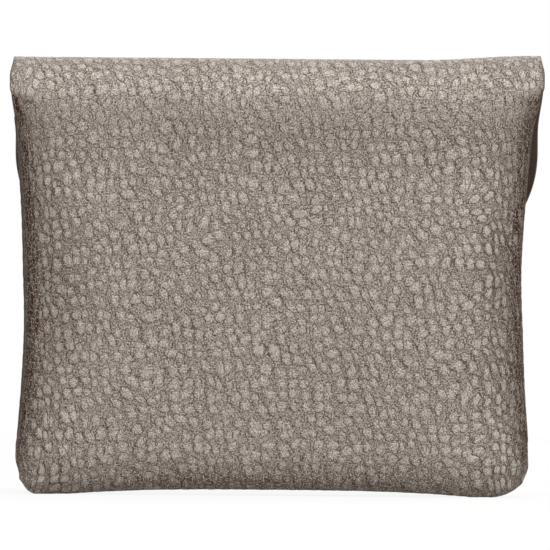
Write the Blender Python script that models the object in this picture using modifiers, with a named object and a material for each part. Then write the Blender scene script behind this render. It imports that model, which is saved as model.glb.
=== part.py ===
# Leather flap wallet: one hide folded into front, base, back and flap, with a lined inside,
# bellows at the sides, card slots, a zipped coin pocket and a press stud.
# Metres, +Z up. The back faces -Y, the flap closes over the front on +Y, the base stands on Z = 0.
# Nested turning and folding is written along one path that follows the hide's outer face.

import math

import bmesh
import bpy

# Fit and sheet thicknesses
FIT = 0.0003  # clearance between pieces that lie on or against each other
HIDE = 0.0012  # outer leather
LINING = 0.0006  # textile lining
SPLIT_OVERLAP = 0.0045  # hide made past the crease at the base before it is cut there
CREASE_GAP = 0.0005  # between the stretches of hide that turn on each other at a crease
BELLOWS = 0.0007  # thin leather of the side bellows

# Outline of the closed wallet
HEIGHT = 0.102
EAR_HALF = 0.0625  # half width of the flap's root, the widest place
SHOULDER_HALF = 0.061  # half width of the body at the top of its side seams
WAIST_HALF = 0.0582  # half width where the sides draw in most
FOOT_HALF = 0.06  # half width near the base
WAIST_HEIGHT = 0.048
FOOT_HEIGHT = 0.0115
SEAM_TOP = 0.0915  # height where the side seams end and the ears begin
EAR_RUN = 0.0035  # length over which the hide widens from seam to ear
CORNER_RADIUS = 0.007  # lower corners of the body, seen from behind
BASE_RISE = 0.0015  # how far the middle of the base arches up between its two feet
FOOT_LENGTH = 0.0045  # flat foot at each end of the base
RISE_FADE = 0.02  # height over which the arch of the base dies out
BODY_SHIFT = -0.0007  # the body sits a little to the left under its flap
FRONT_PEEK = 0.0006  # how far the front stands out to the left of the back

# Bends of the hide, on its outer face
BASE_FOLD = 0.0035
TOP_FOLD = 0.01

# Rolled side edges
ROLL_RADIUS = 0.0032
RETURN_LENGTH = 0.0025  # straight edge behind the roll, where the bellows is sewn on
BASE_RETURN = 0.0005
FULL_ROLL = math.radians(90)
BASE_ROLL = math.radians(55)
EAR_ROLL = math.radians(12)
ROLL_LOW = 0.004  # between these heights the roll grows from the base's to its full angle
ROLL_HIGH = 0.014
UNROLL_RUN = 0.007  # length below the seam's top over which the roll opens flat

# Front and flap
FRONT_TOP = 0.088
FLAP_HALF = 0.0613
FLAP_BOTTOM = 0.0545
FLAP_CORNER = 0.024
FLAP_NARROWING = 0.006  # length past the top bend over which the flap draws in
FLAP_STAND_OFF = 0.003  # room between front and flap lining, for the press stud
LINING_MARGIN = 0.0014  # from a cut edge of the hide to the edge of its lining
FRONT_LINING_MARGIN = 0.0045

# Card slots, stacked on the back lining
SLOT_COUNT = 3
SLOT_HALF = 0.0465
SLOT_HEIGHT = 0.05
SLOT_STEP = 0.009  # each slot sits this much lower than the one behind it
SLOT_WALL = 0.0004
SLOT_ROOM = 0.0006
SLOT_RIM = 0.003
FIRST_SLOT_BOTTOM = 0.024

# Compartments
NOTE_ROOM = 0.0045
COIN_ROOM = 0.0043
FRONT_ROOM = 0.0045

# Coin pocket
COIN_WALL = 0.0008
COIN_HALF = 0.041
COIN_TOP = 0.066
COIN_EDGE = 0.001
COIN_CORNER = 0.006
COIN_FLOOR_GAP = 0.00035  # over the highest place of the base inside

# Side bellows
CREASE_HALF = 0.0465  # half distance between the two inner creases
CREASE_WIDTH = 0.0018
BELLOWS_FLANGE = 0.0026
BELLOWS_BOTTOM = 0.006
BELLOWS_TUCK = 0.0035  # how far the bellows draws in at its foot

# Zip of the coin pocket
CHAIN_HALF_LENGTH = 0.033
CHAIN_HALF_WIDTH = 0.0018
CHAIN_THICKNESS = 0.0016
CHAIN_SPINE = 0.0007
TOOTH_PITCH = 0.0026
TOOTH_WIDTH = 0.001
TOOTH_REACH = 0.0006  # how far a tooth passes the middle of the chain
TAPE = 0.0004
TAPE_OVERHANG = 0.0025
TAPE_NECK = 0.0019
TAPE_SLANT = 0.0025
TAPE_SEAM = 0.0055
STOP_LENGTH = 0.0015
SLIDER_LENGTH = 0.008
SLIDER_WALL = 0.0008
SLIDER_SLOT = 0.0012
BAIL_HALF_LENGTH = 0.0024
BAIL_HALF_WIDTH = 0.00045
BAIL_WALL = 0.0008
BAIL_ROOM = 0.0017
PULL_LENGTH = 0.0155
PULL_THICKNESS = 0.0008
PULL_BAR = 0.0008
PULL_EYE = 0.0038
PULL_ARM = 0.0008
PULL_EYE_HALF = 0.00085
PULL_END_HALF = 0.0026

# Press stud
STUD_HEIGHT = 0.064  # height of its middle above the base
SHANK = 0.0012
POST_HEAD = 0.004
STUD_FLANGE = 0.0045
STUD_FLANGE_THICKNESS = 0.0006
STUD_BOSS = 0.0022
STUD_BOSS_RISE = 0.0011
SOCKET_RADIUS = 0.005
SOCKET_ROOM = 0.0006
SOCKET_RING = 0.0009
SOCKET_PLATE = 0.0004
CAP_RADIUS = 0.006
CAP_THICKNESS = 0.0008

# Fineness of the meshes
ROW = 0.012  # longest step along straight stretches of the hide
CLOSEST_ROW = 0.0004
BEND_STEPS = 9
DETAIL_STEPS = 4
ROLL_STEPS = 4
TURN_STEPS = 28
CORNER_STEPS = 8
MERGE = 0.00001

# Layers from the back to the front, each from the one before it
SLOT_DEPTH = SLOT_WALL + SLOT_ROOM
SLOTS_DEPTH = SLOT_COUNT * SLOT_DEPTH + (SLOT_COUNT - 1) * FIT
BODY_DEPTH = (
    HIDE + FIT + LINING + FIT + SLOTS_DEPTH + NOTE_ROOM + COIN_WALL + COIN_ROOM + COIN_WALL
    + FRONT_ROOM + LINING + FIT + HIDE
)
FLAP_DEPTH = FLAP_STAND_OFF + LINING + FIT + HIDE
CAP_DEPTH = FIT + CAP_THICKNESS
BACK_OUT = -(BODY_DEPTH + FLAP_DEPTH + CAP_DEPTH) / 2
BACK_LINING = BACK_OUT + HIDE + FIT
SLOTS_REAR = BACK_LINING + LINING + FIT
COIN_REAR = SLOTS_REAR + SLOTS_DEPTH + NOTE_ROOM
COIN_MIDDLE = COIN_REAR + COIN_WALL + COIN_ROOM / 2
FRONT_OUT = BACK_OUT + BODY_DEPTH
FRONT_LINING = FRONT_OUT - HIDE - FIT - LINING
FLAP_OUT = FRONT_OUT + FLAP_DEPTH
FLAP_INSIDE = FRONT_OUT + FLAP_STAND_OFF
COIN_FLOOR = HIDE + BASE_RISE + COIN_FLOOR_GAP

# The hide's path over its outer face: (bend radius or 0, length), from the front's top edge
QUARTER = math.pi / 2
HIDE_PATH = [
    (0, FRONT_TOP - BASE_FOLD),
    (BASE_FOLD, BASE_FOLD * QUARTER),
    (0, BODY_DEPTH - 2 * BASE_FOLD),
    (BASE_FOLD, BASE_FOLD * QUARTER),
    (0, HEIGHT - TOP_FOLD - BASE_FOLD),
    (TOP_FOLD, TOP_FOLD * QUARTER),
    (0, FLAP_OUT - BACK_OUT - 2 * TOP_FOLD),
    (TOP_FOLD, TOP_FOLD * QUARTER),
    (0, HEIGHT - TOP_FOLD - FLAP_BOTTOM),
]
FRONT_END = HIDE_PATH[0][1]
BACK_START = sum(length for bend, length in HIDE_PATH[:4])
BACK_END = BACK_START + HIDE_PATH[4][1]
REAR_CREASE = BACK_END + HIDE_PATH[5][1] / 2
FRONT_CREASE = BACK_END + HIDE_PATH[5][1] + HIDE_PATH[6][1] + HIDE_PATH[7][1] / 2
HIDE_END = sum(length for bend, length in HIDE_PATH)
SEAM_END = BACK_END - (HEIGHT - TOP_FOLD - SEAM_TOP)

parts = bpy.data.collections.new("leather_flap_wallet")
cutters = bpy.data.collections.new("cutters")


# Scene and naming helpers

def clear_scene():
    for old in list(bpy.data.objects):
        bpy.data.objects.remove(old, do_unlink=True)
    bpy.context.scene.collection.children.link(parts)
    bpy.context.scene.collection.children.link(cutters)


def settle(obj, name, collection=parts):
    obj.name = name
    obj.data.name = name
    for home in list(obj.users_collection):
        home.objects.unlink(obj)
    collection.objects.link(obj)
    if collection is cutters:
        obj.hide_render = True
        obj.display_type = "WIRE"
    return obj


def finish(obj, colour, roughness, metallic=0.0):
    material = bpy.data.materials.new(obj.name)
    material.use_nodes = True
    surface = material.node_tree.nodes["Principled BSDF"]
    surface.inputs["Base Color"].default_value = (*colour, 1)
    surface.inputs["Roughness"].default_value = roughness
    surface.inputs["Metallic"].default_value = metallic
    obj.data.materials.clear()
    obj.data.materials.append(material)
    return obj


def hang(name, place, pieces):
    # An empty on a joint's axis carries the pieces that turn or slide with it
    pivot = bpy.data.objects.new(name, None)
    pivot.location = place
    pivot.empty_display_size = 0.01
    parts.objects.link(pivot)
    bpy.context.view_layer.update()
    for piece in pieces:
        piece.parent = pivot
        piece.matrix_parent_inverse = pivot.matrix_world.inverted()
    return pivot


# Shape helpers

def smooth(value):
    value = min(1.0, max(0.0, value))
    return value * value * (3 - 2 * value)


def sheet(name, columns, rows, place, thickness):
    # A grid whose vertices are placed by a rule, given its thickness on the inner side
    bpy.ops.mesh.primitive_grid_add(
        x_subdivisions=len(columns) - 1, y_subdivisions=len(rows) - 1, size=2
    )
    obj = settle(bpy.context.object, name)
    for vertex in obj.data.vertices:
        column = columns[round((vertex.co.x + 1) / 2 * (len(columns) - 1))]
        row = rows[round((vertex.co.y + 1) / 2 * (len(rows) - 1))]
        vertex.co = place(column, row)
    solid = obj.modifiers.new("thickness", "SOLIDIFY")
    solid.thickness = thickness
    solid.offset = -1
    solid.use_even_offset = True
    solid.use_quality_normals = True
    return obj


def block(name, low, high, collection=parts):
    middle = [(a + b) / 2 for a, b in zip(low, high)]
    bpy.ops.mesh.primitive_cube_add(size=1, location=middle)
    obj = settle(bpy.context.object, name, collection)
    obj.scale = [b - a for a, b in zip(low, high)]
    bpy.ops.object.transform_apply(location=False, rotation=False, scale=True)
    return obj


def drum(name, radius, length, middle, collection=cutters):
    # A cylinder that lies along Y
    bpy.ops.mesh.primitive_cylinder_add(
        vertices=TURN_STEPS, radius=radius, depth=length, location=middle, rotation=(QUARTER, 0, 0)
    )
    return settle(bpy.context.object, name, collection)


def combine(obj, other, operation):
    tool = obj.modifiers.new(other.name, "BOOLEAN")
    tool.operation = operation
    tool.solver = "EXACT"
    tool.object = other
    return obj


def flat(name, outlines, thickness, middle, turn):
    # A flat piece: closed outlines, the first round the others, given a thickness
    curve = bpy.data.curves.new(name, "CURVE")
    curve.dimensions = "2D"
    curve.fill_mode = "BOTH"
    curve.extrude = thickness / 2
    for outline in outlines:
        spline = curve.splines.new("POLY")
        spline.points.add(len(outline) - 1)
        for point, (across, up) in zip(spline.points, outline):
            point.co = (across, up, 0, 1)
        spline.use_cyclic_u = True
    obj = bpy.data.objects.new(name, curve)
    obj.location = middle
    obj.rotation_euler = turn
    parts.objects.link(obj)
    return obj


UPRIGHT = (QUARTER, 0, 0)  # outline across X and up Z, thickness along Y
LENGTHWISE = (QUARTER, 0, QUARTER)  # outline across Y and up Z, thickness along X
LEVEL = (0, 0, 0)  # outline across X and Y, thickness along Z


def as_mesh(obj):
    # A filled curve made into a welded mesh, so that Booleans can use it
    bpy.context.view_layer.update()
    ready = obj.evaluated_get(bpy.context.evaluated_depsgraph_get())
    mesh = bpy.data.meshes.new_from_object(ready)
    bm = bmesh.new()
    bm.from_mesh(mesh)
    bmesh.ops.remove_doubles(bm, verts=bm.verts, dist=MERGE)
    bm.to_mesh(mesh)
    bm.free()
    name = obj.name
    solid = bpy.data.objects.new(name, mesh)
    solid.matrix_world = obj.matrix_world
    bpy.data.objects.remove(obj)
    return settle(solid, name)


def turned(name, profile, middle):
    # A profile of (radius, distance along +Y), turned about a line along Y
    mesh = bpy.data.meshes.new(name)
    points = [(radius, 0, reach) for radius, reach in profile]
    edges = [(i, i + 1) for i in range(len(points) - 1)]
    if profile[0][0] > 0:
        edges.append((len(points) - 1, 0))
    mesh.from_pydata(points, edges, [])
    obj = bpy.data.objects.new(name, mesh)
    obj.location = middle
    obj.rotation_euler = (-QUARTER, 0, 0)
    parts.objects.link(obj)
    screw = obj.modifiers.new("turn", "SCREW")
    screw.axis = "Z"
    screw.angle = 2 * math.pi
    screw.steps = TURN_STEPS
    screw.render_steps = TURN_STEPS
    screw.use_merge_vertices = True
    screw.merge_threshold = MERGE
    return obj


def rounded(half_width, low, high, lower_radius, upper_radius):
    # Closed outline of an upright rectangle with rounded lower and upper corners
    outline = []
    corners = [
        (1, low, lower_radius, -QUARTER),
        (1, high, upper_radius, 0),
        (-1, high, upper_radius, QUARTER),
        (-1, low, lower_radius, math.pi),
    ]
    for side, level, radius, start in corners:
        centre_x = side * (half_width - radius)
        centre_z = level + radius if level == low else level - radius
        for step in range(CORNER_STEPS + 1):
            angle = start + QUARTER * step / CORNER_STEPS
            outline.append(
                (centre_x + radius * math.cos(angle), centre_z + radius * math.sin(angle))
            )
    return outline


def circle(radius, across=0.0, up=0.0):
    turn = [2 * math.pi * step / TURN_STEPS for step in range(TURN_STEPS)]
    return [(across + radius * math.cos(a), up + radius * math.sin(a)) for a in turn]


# The hide's path and edge

def walk(distance):
    # Place (y, z) on the hide's outer face, and its inward direction, at a distance along the path
    y = FRONT_OUT
    z = FRONT_TOP
    heading = -QUARTER
    for bend, length in HIDE_PATH:
        step = min(distance, length)
        if bend:
            centre_y = y + bend * math.sin(heading)
            centre_z = z - bend * math.cos(heading)
            heading -= step / bend
            y = centre_y - bend * math.sin(heading)
            z = centre_z + bend * math.cos(heading)
        else:
            y += step * math.cos(heading)
            z += step * math.sin(heading)
        distance -= step
        if distance <= 0:
            break
    return y, z, math.sin(heading), -math.cos(heading)


def stations(start, end):
    # Distances along the path where a sheet has its rows, closer where the edge changes
    marks = []
    reached = 0
    for bend, length in HIDE_PATH:
        count = BEND_STEPS if bend else math.ceil(length / ROW)
        marks += [reached + length * step / count for step in range(count + 1)]
        reached += length
    for step in range(DETAIL_STEPS + 1):
        share = step / DETAIL_STEPS
        rolled = ROLL_LOW + (ROLL_HIGH - ROLL_LOW) * share
        marks += [BACK_START + rolled, FRONT_END - rolled]
        marks += [SEAM_END - UNROLL_RUN * share, SEAM_END + EAR_RUN * share]
        marks.append(HIDE_END - HIDE_PATH[-1][1] + FLAP_NARROWING * share)
    rows = [start]
    for mark in sorted(marks):
        if rows[-1] + CLOSEST_ROW < mark < end - CLOSEST_ROW:
            rows.append(mark)
    return rows + [end]


def body_half(z):
    # Half width of the closed body at a height: drawn in at the waist, rounded at the base
    if z > WAIST_HEIGHT:
        bow = (SHOULDER_HALF - WAIST_HALF) * ((z - WAIST_HEIGHT) / (SEAM_TOP - WAIST_HEIGHT)) ** 2
    else:
        bow = (FOOT_HALF - WAIST_HALF) * ((WAIST_HEIGHT - z) / (WAIST_HEIGHT - FOOT_HEIGHT)) ** 2
    drop = min(CORNER_RADIUS, max(0.0, CORNER_RADIUS - z))
    return WAIST_HALF + bow - CORNER_RADIUS + math.sqrt(CORNER_RADIUS**2 - drop**2)


def ear(distance):
    # 0 on the body, 1 past the top of its side seams
    return smooth((distance - SEAM_END) / EAR_RUN)


def hide_half(distance):
    # Half width of the hide, seen flat on, at a distance along the path
    y, z, in_y, in_z = walk(distance)
    if distance < SEAM_END:
        return body_half(z)
    if distance < FRONT_CREASE:
        return SHOULDER_HALF + (EAR_HALF - SHOULDER_HALF) * ear(distance)
    past = distance - (HIDE_END - HIDE_PATH[8][1])
    half = EAR_HALF - (EAR_HALF - FLAP_HALF) * smooth(past / FLAP_NARROWING)
    drop = min(FLAP_CORNER, max(0.0, FLAP_CORNER - (HIDE_END - distance)))
    return half - FLAP_CORNER + math.sqrt(FLAP_CORNER**2 - drop**2)


def hide_shift(distance):
    # The body lies a little to one side of the flap, and the front a little more
    y, z, in_y, in_z = walk(distance)
    if distance < FRONT_END:
        return BODY_SHIFT - FRONT_PEEK * smooth((z - BASE_FOLD) / ROLL_HIGH)
    return BODY_SHIFT * (1 - ear(distance))


def roll_at(distance):
    # Angle of the rolled side edge, and the straight return behind it
    y, z, in_y, in_z = walk(distance)
    grown = smooth((z - ROLL_LOW) / (ROLL_HIGH - ROLL_LOW))
    angle = BASE_ROLL + (FULL_ROLL - BASE_ROLL) * grown
    back = BASE_RETURN + (RETURN_LENGTH - BASE_RETURN) * grown
    if distance > BACK_START:
        opened = smooth((distance - SEAM_END + UNROLL_RUN) / UNROLL_RUN)
        angle += (EAR_ROLL - angle) * opened
        back += (BASE_RETURN - back) * opened
    return angle, back


def flat_half(distance):
    # Half width of the part of the hide that lies flat between its rolled sides
    angle, back = roll_at(distance)
    return hide_half(distance) - ROLL_RADIUS * math.sin(angle) - back * math.cos(angle)


def arch(x, z, shift):
    # The base arches up between its feet, less and less with height
    inner = flat_half(BACK_START - BASE_FOLD * QUARTER) - FOOT_LENGTH
    off = min(1.0, abs(x - shift) / inner)
    return BASE_RISE * (1 - off**3) * (1 - smooth((z - BASE_FOLD) / RISE_FADE))


def on_hide(column, distance):
    # A column is 0 in the middle, 1 where the roll begins, 2 where it ends, 3 at the cut edge
    y, z, in_y, in_z = walk(distance)
    angle, back = roll_at(distance)
    side = math.copysign(1.0, column)
    reach = abs(column)
    turn = angle * min(1.0, max(0.0, reach - 1))
    run = back * max(0.0, reach - 2)
    across = flat_half(distance) * min(1.0, reach)
    across += ROLL_RADIUS * math.sin(turn) + run * math.cos(angle)
    depth = ROLL_RADIUS * (1 - math.cos(turn)) + run * math.sin(angle)
    shift = hide_shift(distance)
    x = shift + side * across
    y += in_y * depth
    z += in_z * depth
    return x, y, z + arch(x, z, shift)


def on_flat_hide(column, distance):
    # The flap and its root have no rolled edge: a column is a share of the half width
    y, z, in_y, in_z = walk(distance)
    return hide_shift(distance) + column * hide_half(distance), y, z


def hide_columns():
    inner = flat_half(BACK_START - BASE_FOLD * QUARTER)
    foot = (inner - FOOT_LENGTH) / inner
    half = [foot * step / 5 for step in range(6)] + [1.0]
    half += [1 + step / ROLL_STEPS for step in range(1, ROLL_STEPS + 1)] + [3.0]
    return [-value for value in reversed(half[1:])] + half


FLAT_COLUMNS = [step / 6 for step in range(-6, 7)]


def corner_rows(start):
    # Rows of the flap, closer together round its lower corners
    below = HIDE_END - FLAP_CORNER
    rows = [mark for mark in stations(start, HIDE_END) if mark < below - FIT]
    for step in range(CORNER_STEPS + 1):
        rows.append(below + FLAP_CORNER * math.sin(QUARTER * step / CORNER_STEPS))
    return rows


# Outer leather

LEATHER = (0.33, 0.29, 0.25)
LEATHER_ROUGHNESS = 0.42
LEATHER_SHEEN = 0.45
CLOTH = (0.05, 0.045, 0.04)
CLOTH_ROUGHNESS = 0.85
NICKEL = (0.62, 0.6, 0.57)
NICKEL_ROUGHNESS = 0.25


def leather(obj):
    return finish(obj, LEATHER, LEATHER_ROUGHNESS, LEATHER_SHEEN)


def cloth(obj):
    return finish(obj, CLOTH, CLOTH_ROUGHNESS)


def nickel(obj):
    return finish(obj, NICKEL, NICKEL_ROUGHNESS, 1.0)


def stud_hole(obj, radius, y):
    cutter = drum(obj.name + "_hole", radius, 4 * FLAP_STAND_OFF, (0, y, STUD_HEIGHT))
    return combine(obj, cutter, "DIFFERENCE")


def split_block(name, low, high):
    # Room round the crease between base and front, over the full width
    wide = 2 * EAR_HALF
    return block(
        name,
        (-wide, FRONT_OUT - 2 * BASE_FOLD, low),
        (wide, FRONT_OUT + BASE_FOLD, high),
        cutters,
    )


def make_hide():
    columns = hide_columns()
    front_rows = stations(0, FRONT_END + SPLIT_OVERLAP)
    front = sheet("front_panel", columns, front_rows, on_hide, HIDE)
    combine(front, split_block("under_front", -BASE_FOLD, BASE_FOLD + FIT / 2), "DIFFERENCE")
    stud_hole(front, SHANK + FIT, FRONT_OUT)
    back_rows = stations(FRONT_END - SPLIT_OVERLAP, REAR_CREASE - CREASE_GAP / 2)
    back = sheet("back_panel", columns, back_rows, on_hide, HIDE)
    combine(back, split_block("over_base", BASE_FOLD - FIT / 2, ROLL_HIGH), "DIFFERENCE")
    root_rows = stations(REAR_CREASE + CREASE_GAP / 2, FRONT_CREASE - CREASE_GAP / 2)
    root = sheet("bridge_leather", FLAT_COLUMNS, root_rows, on_flat_hide, HIDE)
    flap = sheet(
        "flap_leather", FLAT_COLUMNS, corner_rows(FRONT_CREASE + CREASE_GAP / 2), on_flat_hide, HIDE
    )
    stud_hole(flap, SHANK + FIT, FLAP_OUT)
    return [leather(obj) for obj in (front, back, root, flap)]


# Linings

def back_lining_half(distance):
    return min(flat_half(distance) - FIT, hide_half(distance) - LINING_MARGIN)


def inside_hide(half_of):
    # A rule that places a sheet just inside the hide, with its own half width
    def place(column, distance):
        y, z, in_y, in_z = walk(distance)
        depth = HIDE + FIT
        x = hide_shift(distance) + column * half_of(distance)
        return x, y + in_y * depth, z + in_z * depth
    return place


def flap_lining_half(distance):
    return hide_half(min(HIDE_END, distance + LINING_MARGIN)) - LINING_MARGIN


def make_linings():
    bottom = BACK_START + BASE_FOLD
    back = sheet(
        "back_lining", FLAT_COLUMNS, stations(bottom, REAR_CREASE - CREASE_GAP / 2),
        inside_hide(back_lining_half), LINING,
    )
    root = sheet(
        "bridge_lining", FLAT_COLUMNS, stations(REAR_CREASE + CREASE_GAP / 2, FRONT_CREASE - CREASE_GAP / 2),
        inside_hide(lambda distance: EAR_HALF - LINING_MARGIN), LINING,
    )
    rows = [mark for mark in corner_rows(FRONT_CREASE + CREASE_GAP / 2) if mark < HIDE_END - 2 * LINING_MARGIN]
    flap = sheet(
        "flap_lining", FLAT_COLUMNS, rows + [HIDE_END - LINING_MARGIN],
        inside_hide(flap_lining_half), LINING,
    )
    stud_hole(flap, SHANK + FIT, FLAP_INSIDE)
    front = flat(
        "front_lining",
        [
            rounded(
                WAIST_HALF - FRONT_LINING_MARGIN, 2 * BASE_FOLD, FRONT_TOP - LINING_MARGIN,
                CORNER_RADIUS, LINING,
            ),
            circle(POST_HEAD + FIT, -BODY_SHIFT + FRONT_PEEK, STUD_HEIGHT),
        ],
        LINING,
        (BODY_SHIFT - FRONT_PEEK, FRONT_LINING + LINING / 2, 0),
        UPRIGHT,
    )
    return [cloth(obj) for obj in (back, root, flap, front)]


# Card slots

def make_slots():
    slots = []
    for number in range(SLOT_COUNT):
        bottom = FIRST_SLOT_BOTTOM - number * SLOT_STEP
        top = bottom + SLOT_HEIGHT
        rear = SLOTS_REAR + number * (SLOT_DEPTH + FIT)
        slot = block(
            f"card_slot_{number + 1}",
            (BODY_SHIFT - SLOT_HALF, rear, bottom),
            (BODY_SHIFT + SLOT_HALF, rear + SLOT_DEPTH, top),
        )
        room = block(
            f"card_room_{number + 1}",
            (BODY_SHIFT - SLOT_HALF + SLOT_RIM, rear - FIT, bottom + SLOT_RIM),
            (BODY_SHIFT + SLOT_HALF - SLOT_RIM, rear + SLOT_ROOM, top + SLOT_RIM),
            cutters,
        )
        combine(slot, room, "DIFFERENCE")
        slots.append(cloth(slot))
    return slots


# Side bellows

def bellows_rule(side):
    # Columns run from the seam on the back, over the inner crease, to the seam on the front
    middle = (BACK_OUT + FRONT_OUT) / 2
    seam = ROLL_RADIUS + FIT
    rear = BACK_OUT + seam
    fore = FRONT_OUT - seam

    def place(column, z):
        tuck = BELLOWS_TUCK * (1 - smooth((z - BELLOWS_BOTTOM) / ROLL_HIGH))
        wall = body_half(z) - HIDE - FIT - tuck
        fore_wall = wall + side * -FRONT_PEEK
        stops = [
            (wall, rear),
            (wall, rear + BELLOWS_FLANGE),
            (CREASE_HALF, middle - CREASE_WIDTH / 2),
            (CREASE_HALF, middle + CREASE_WIDTH / 2),
            (fore_wall, fore - BELLOWS_FLANGE),
            (fore_wall, fore),
        ]
        across, y = stops[column]
        return BODY_SHIFT + side * across, y, z
    return place


def make_bellows():
    top = min(FRONT_TOP, SEAM_TOP - UNROLL_RUN) - FIT
    count = math.ceil((top - BELLOWS_BOTTOM) / ROW)
    heights = [BELLOWS_BOTTOM + (top - BELLOWS_BOTTOM) * step / count for step in range(count + 1)]
    columns = list(range(6))
    left = sheet("gusset_left", columns[::-1], heights, bellows_rule(-1), BELLOWS)
    right = sheet("gusset_right", columns, heights, bellows_rule(1), BELLOWS)
    return [leather(left), leather(right)]


# Coin pocket

def make_coin_pocket():
    walls = []
    for name, rear in (
        ("coin_wall_rear", COIN_REAR),
        ("coin_wall_front", COIN_REAR + COIN_WALL + COIN_ROOM),
    ):
        outline = rounded(COIN_HALF, COIN_FLOOR + FIT, COIN_TOP, COIN_CORNER, COIN_WALL)
        wall = flat(name, [outline], COIN_WALL, (BODY_SHIFT, rear + COIN_WALL / 2, 0), UPRIGHT)
        walls.append(cloth(wall))
    outer = rounded(COIN_HALF, COIN_FLOOR, COIN_TOP, COIN_CORNER, COIN_WALL)
    inner = rounded(
        COIN_HALF - COIN_EDGE, COIN_FLOOR + COIN_EDGE, COIN_TOP, COIN_CORNER - COIN_EDGE, COIN_WALL
    )
    half = len(outer) // 2
    fold = CORNER_STEPS + 1
    open_top = [point for point in outer[:fold]] + [(COIN_HALF, COIN_TOP)]
    inner_side = [(COIN_HALF - COIN_EDGE, COIN_TOP)] + list(reversed(inner[:fold]))
    left_outer = outer[half + fold:]
    left_inner = list(reversed(inner[half + fold:]))
    strip = (
        open_top
        + inner_side
        + left_inner
        + [(-COIN_HALF + COIN_EDGE, COIN_TOP), (-COIN_HALF, COIN_TOP)]
        + left_outer
    )
    edge = flat("coin_edge", [strip], COIN_ROOM - 2 * FIT, (BODY_SHIFT, COIN_MIDDLE, 0), UPRIGHT)
    return walls + [cloth(edge)]


# Zip

CHAIN_HEIGHT = COIN_TOP + SLIDER_WALL + CHAIN_THICKNESS / 2 + 2 * FIT + FIT
SLIDER_TOP = CHAIN_HEIGHT + CHAIN_THICKNESS / 2 + FIT + SLIDER_WALL
SLIDER_X = BODY_SHIFT + CHAIN_HALF_LENGTH - SLIDER_LENGTH / 2 - FIT
PULL_AXIS = SLIDER_TOP + BAIL_ROOM / 2


def comb(side):
    # Outline of half a chain: a spine with teeth that reach past the middle
    teeth = int((2 * CHAIN_HALF_LENGTH - TOOTH_WIDTH) / TOOTH_PITCH - 0.5)
    first = -teeth * TOOTH_PITCH / 2 - side * TOOTH_PITCH / 4
    spine = side * (CHAIN_HALF_WIDTH - CHAIN_SPINE)
    tip = -side * TOOTH_REACH
    outline = [(-CHAIN_HALF_LENGTH, spine)]
    for number in range(teeth + 1):
        middle = first + number * TOOTH_PITCH
        outline.append((middle - TOOTH_WIDTH / 2, spine))
        outline.append((middle - TOOTH_WIDTH / 2, tip))
        outline.append((middle + TOOTH_WIDTH / 2, tip))
        outline.append((middle + TOOTH_WIDTH / 2, spine))
    outline.append((CHAIN_HALF_LENGTH, spine))
    outline.append((CHAIN_HALF_LENGTH, side * CHAIN_HALF_WIDTH))
    outline.append((-CHAIN_HALF_LENGTH, side * CHAIN_HALF_WIDTH))
    return outline


def tape_profile(side):
    # Section of a tape: up along the coin pocket's wall, in under the chain
    wall = COIN_ROOM / 2 - FIT
    neck = SLIDER_SLOT - FIT
    top = -CHAIN_THICKNESS / 2 - FIT
    levels = [top, top - TAPE_NECK, top - TAPE_NECK - TAPE_SLANT]
    levels.append(levels[2] - TAPE_SEAM)
    outer = list(zip((neck, neck, wall, wall), levels))
    inner = [(across - TAPE, up) for across, up in outer]
    return [(side * across, up) for across, up in outer + inner[::-1]]


def make_zip():
    middle = (BODY_SHIFT, COIN_MIDDLE, CHAIN_HEIGHT)
    pieces = []
    for name, side in (("rear", -1), ("front", 1)):
        tape = flat(
            "zip_tape_" + name, [tape_profile(side)],
            2 * (CHAIN_HALF_LENGTH + TAPE_OVERHANG), middle, LENGTHWISE,
        )
        chain = flat("zip_chain_" + name, [comb(side)], CHAIN_THICKNESS, middle, LEVEL)
        pieces += [cloth(tape), nickel(chain)]
    for name, side in (("left", -1), ("right", 1)):
        inner = side * (CHAIN_HALF_LENGTH + FIT)
        outer = side * (CHAIN_HALF_LENGTH + FIT + STOP_LENGTH)
        stop = block(
            "zip_stop_" + name,
            (BODY_SHIFT + min(inner, outer), COIN_MIDDLE - CHAIN_HALF_WIDTH,
             CHAIN_HEIGHT - CHAIN_THICKNESS / 2),
            (BODY_SHIFT + max(inner, outer), COIN_MIDDLE + CHAIN_HALF_WIDTH,
             CHAIN_HEIGHT + CHAIN_THICKNESS / 2),
        )
        pieces.append(nickel(stop))
    return pieces


def make_slider():
    # A channel round the chain, with a bail on top that holds the pull
    room = CHAIN_HALF_WIDTH + FIT
    outer = room + SLIDER_WALL
    level = CHAIN_THICKNESS / 2 + FIT
    right = [
        (0, level + SLIDER_WALL), (outer, level + SLIDER_WALL), (outer, -level - SLIDER_WALL),
        (SLIDER_SLOT, -level - SLIDER_WALL), (SLIDER_SLOT, -level), (room, -level), (room, level),
    ]
    section = right + [(-across, up) for across, up in reversed(right[1:])]
    channel = flat(
        "zip_slider", [section], SLIDER_LENGTH, (SLIDER_X, COIN_MIDDLE, CHAIN_HEIGHT), LENGTHWISE
    )
    window = BAIL_HALF_LENGTH - BAIL_WALL
    bail = flat(
        "slider_bail",
        [
            [
                (-BAIL_HALF_LENGTH, -SLIDER_WALL / 2), (BAIL_HALF_LENGTH, -SLIDER_WALL / 2),
                (BAIL_HALF_LENGTH, BAIL_ROOM + BAIL_WALL / 2),
                (window, BAIL_ROOM + BAIL_WALL), (-window, BAIL_ROOM + BAIL_WALL),
                (-BAIL_HALF_LENGTH, BAIL_ROOM + BAIL_WALL / 2),
            ],
            [(-window, 0), (window, 0), (window, BAIL_ROOM), (-window, BAIL_ROOM)],
        ],
        2 * BAIL_HALF_WIDTH, (SLIDER_X, COIN_MIDDLE, SLIDER_TOP), UPRIGHT,
    )
    channel = as_mesh(channel)
    bail = settle(as_mesh(bail), "slider_bail", cutters)
    return nickel(combine(channel, bail, "UNION"))


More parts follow.
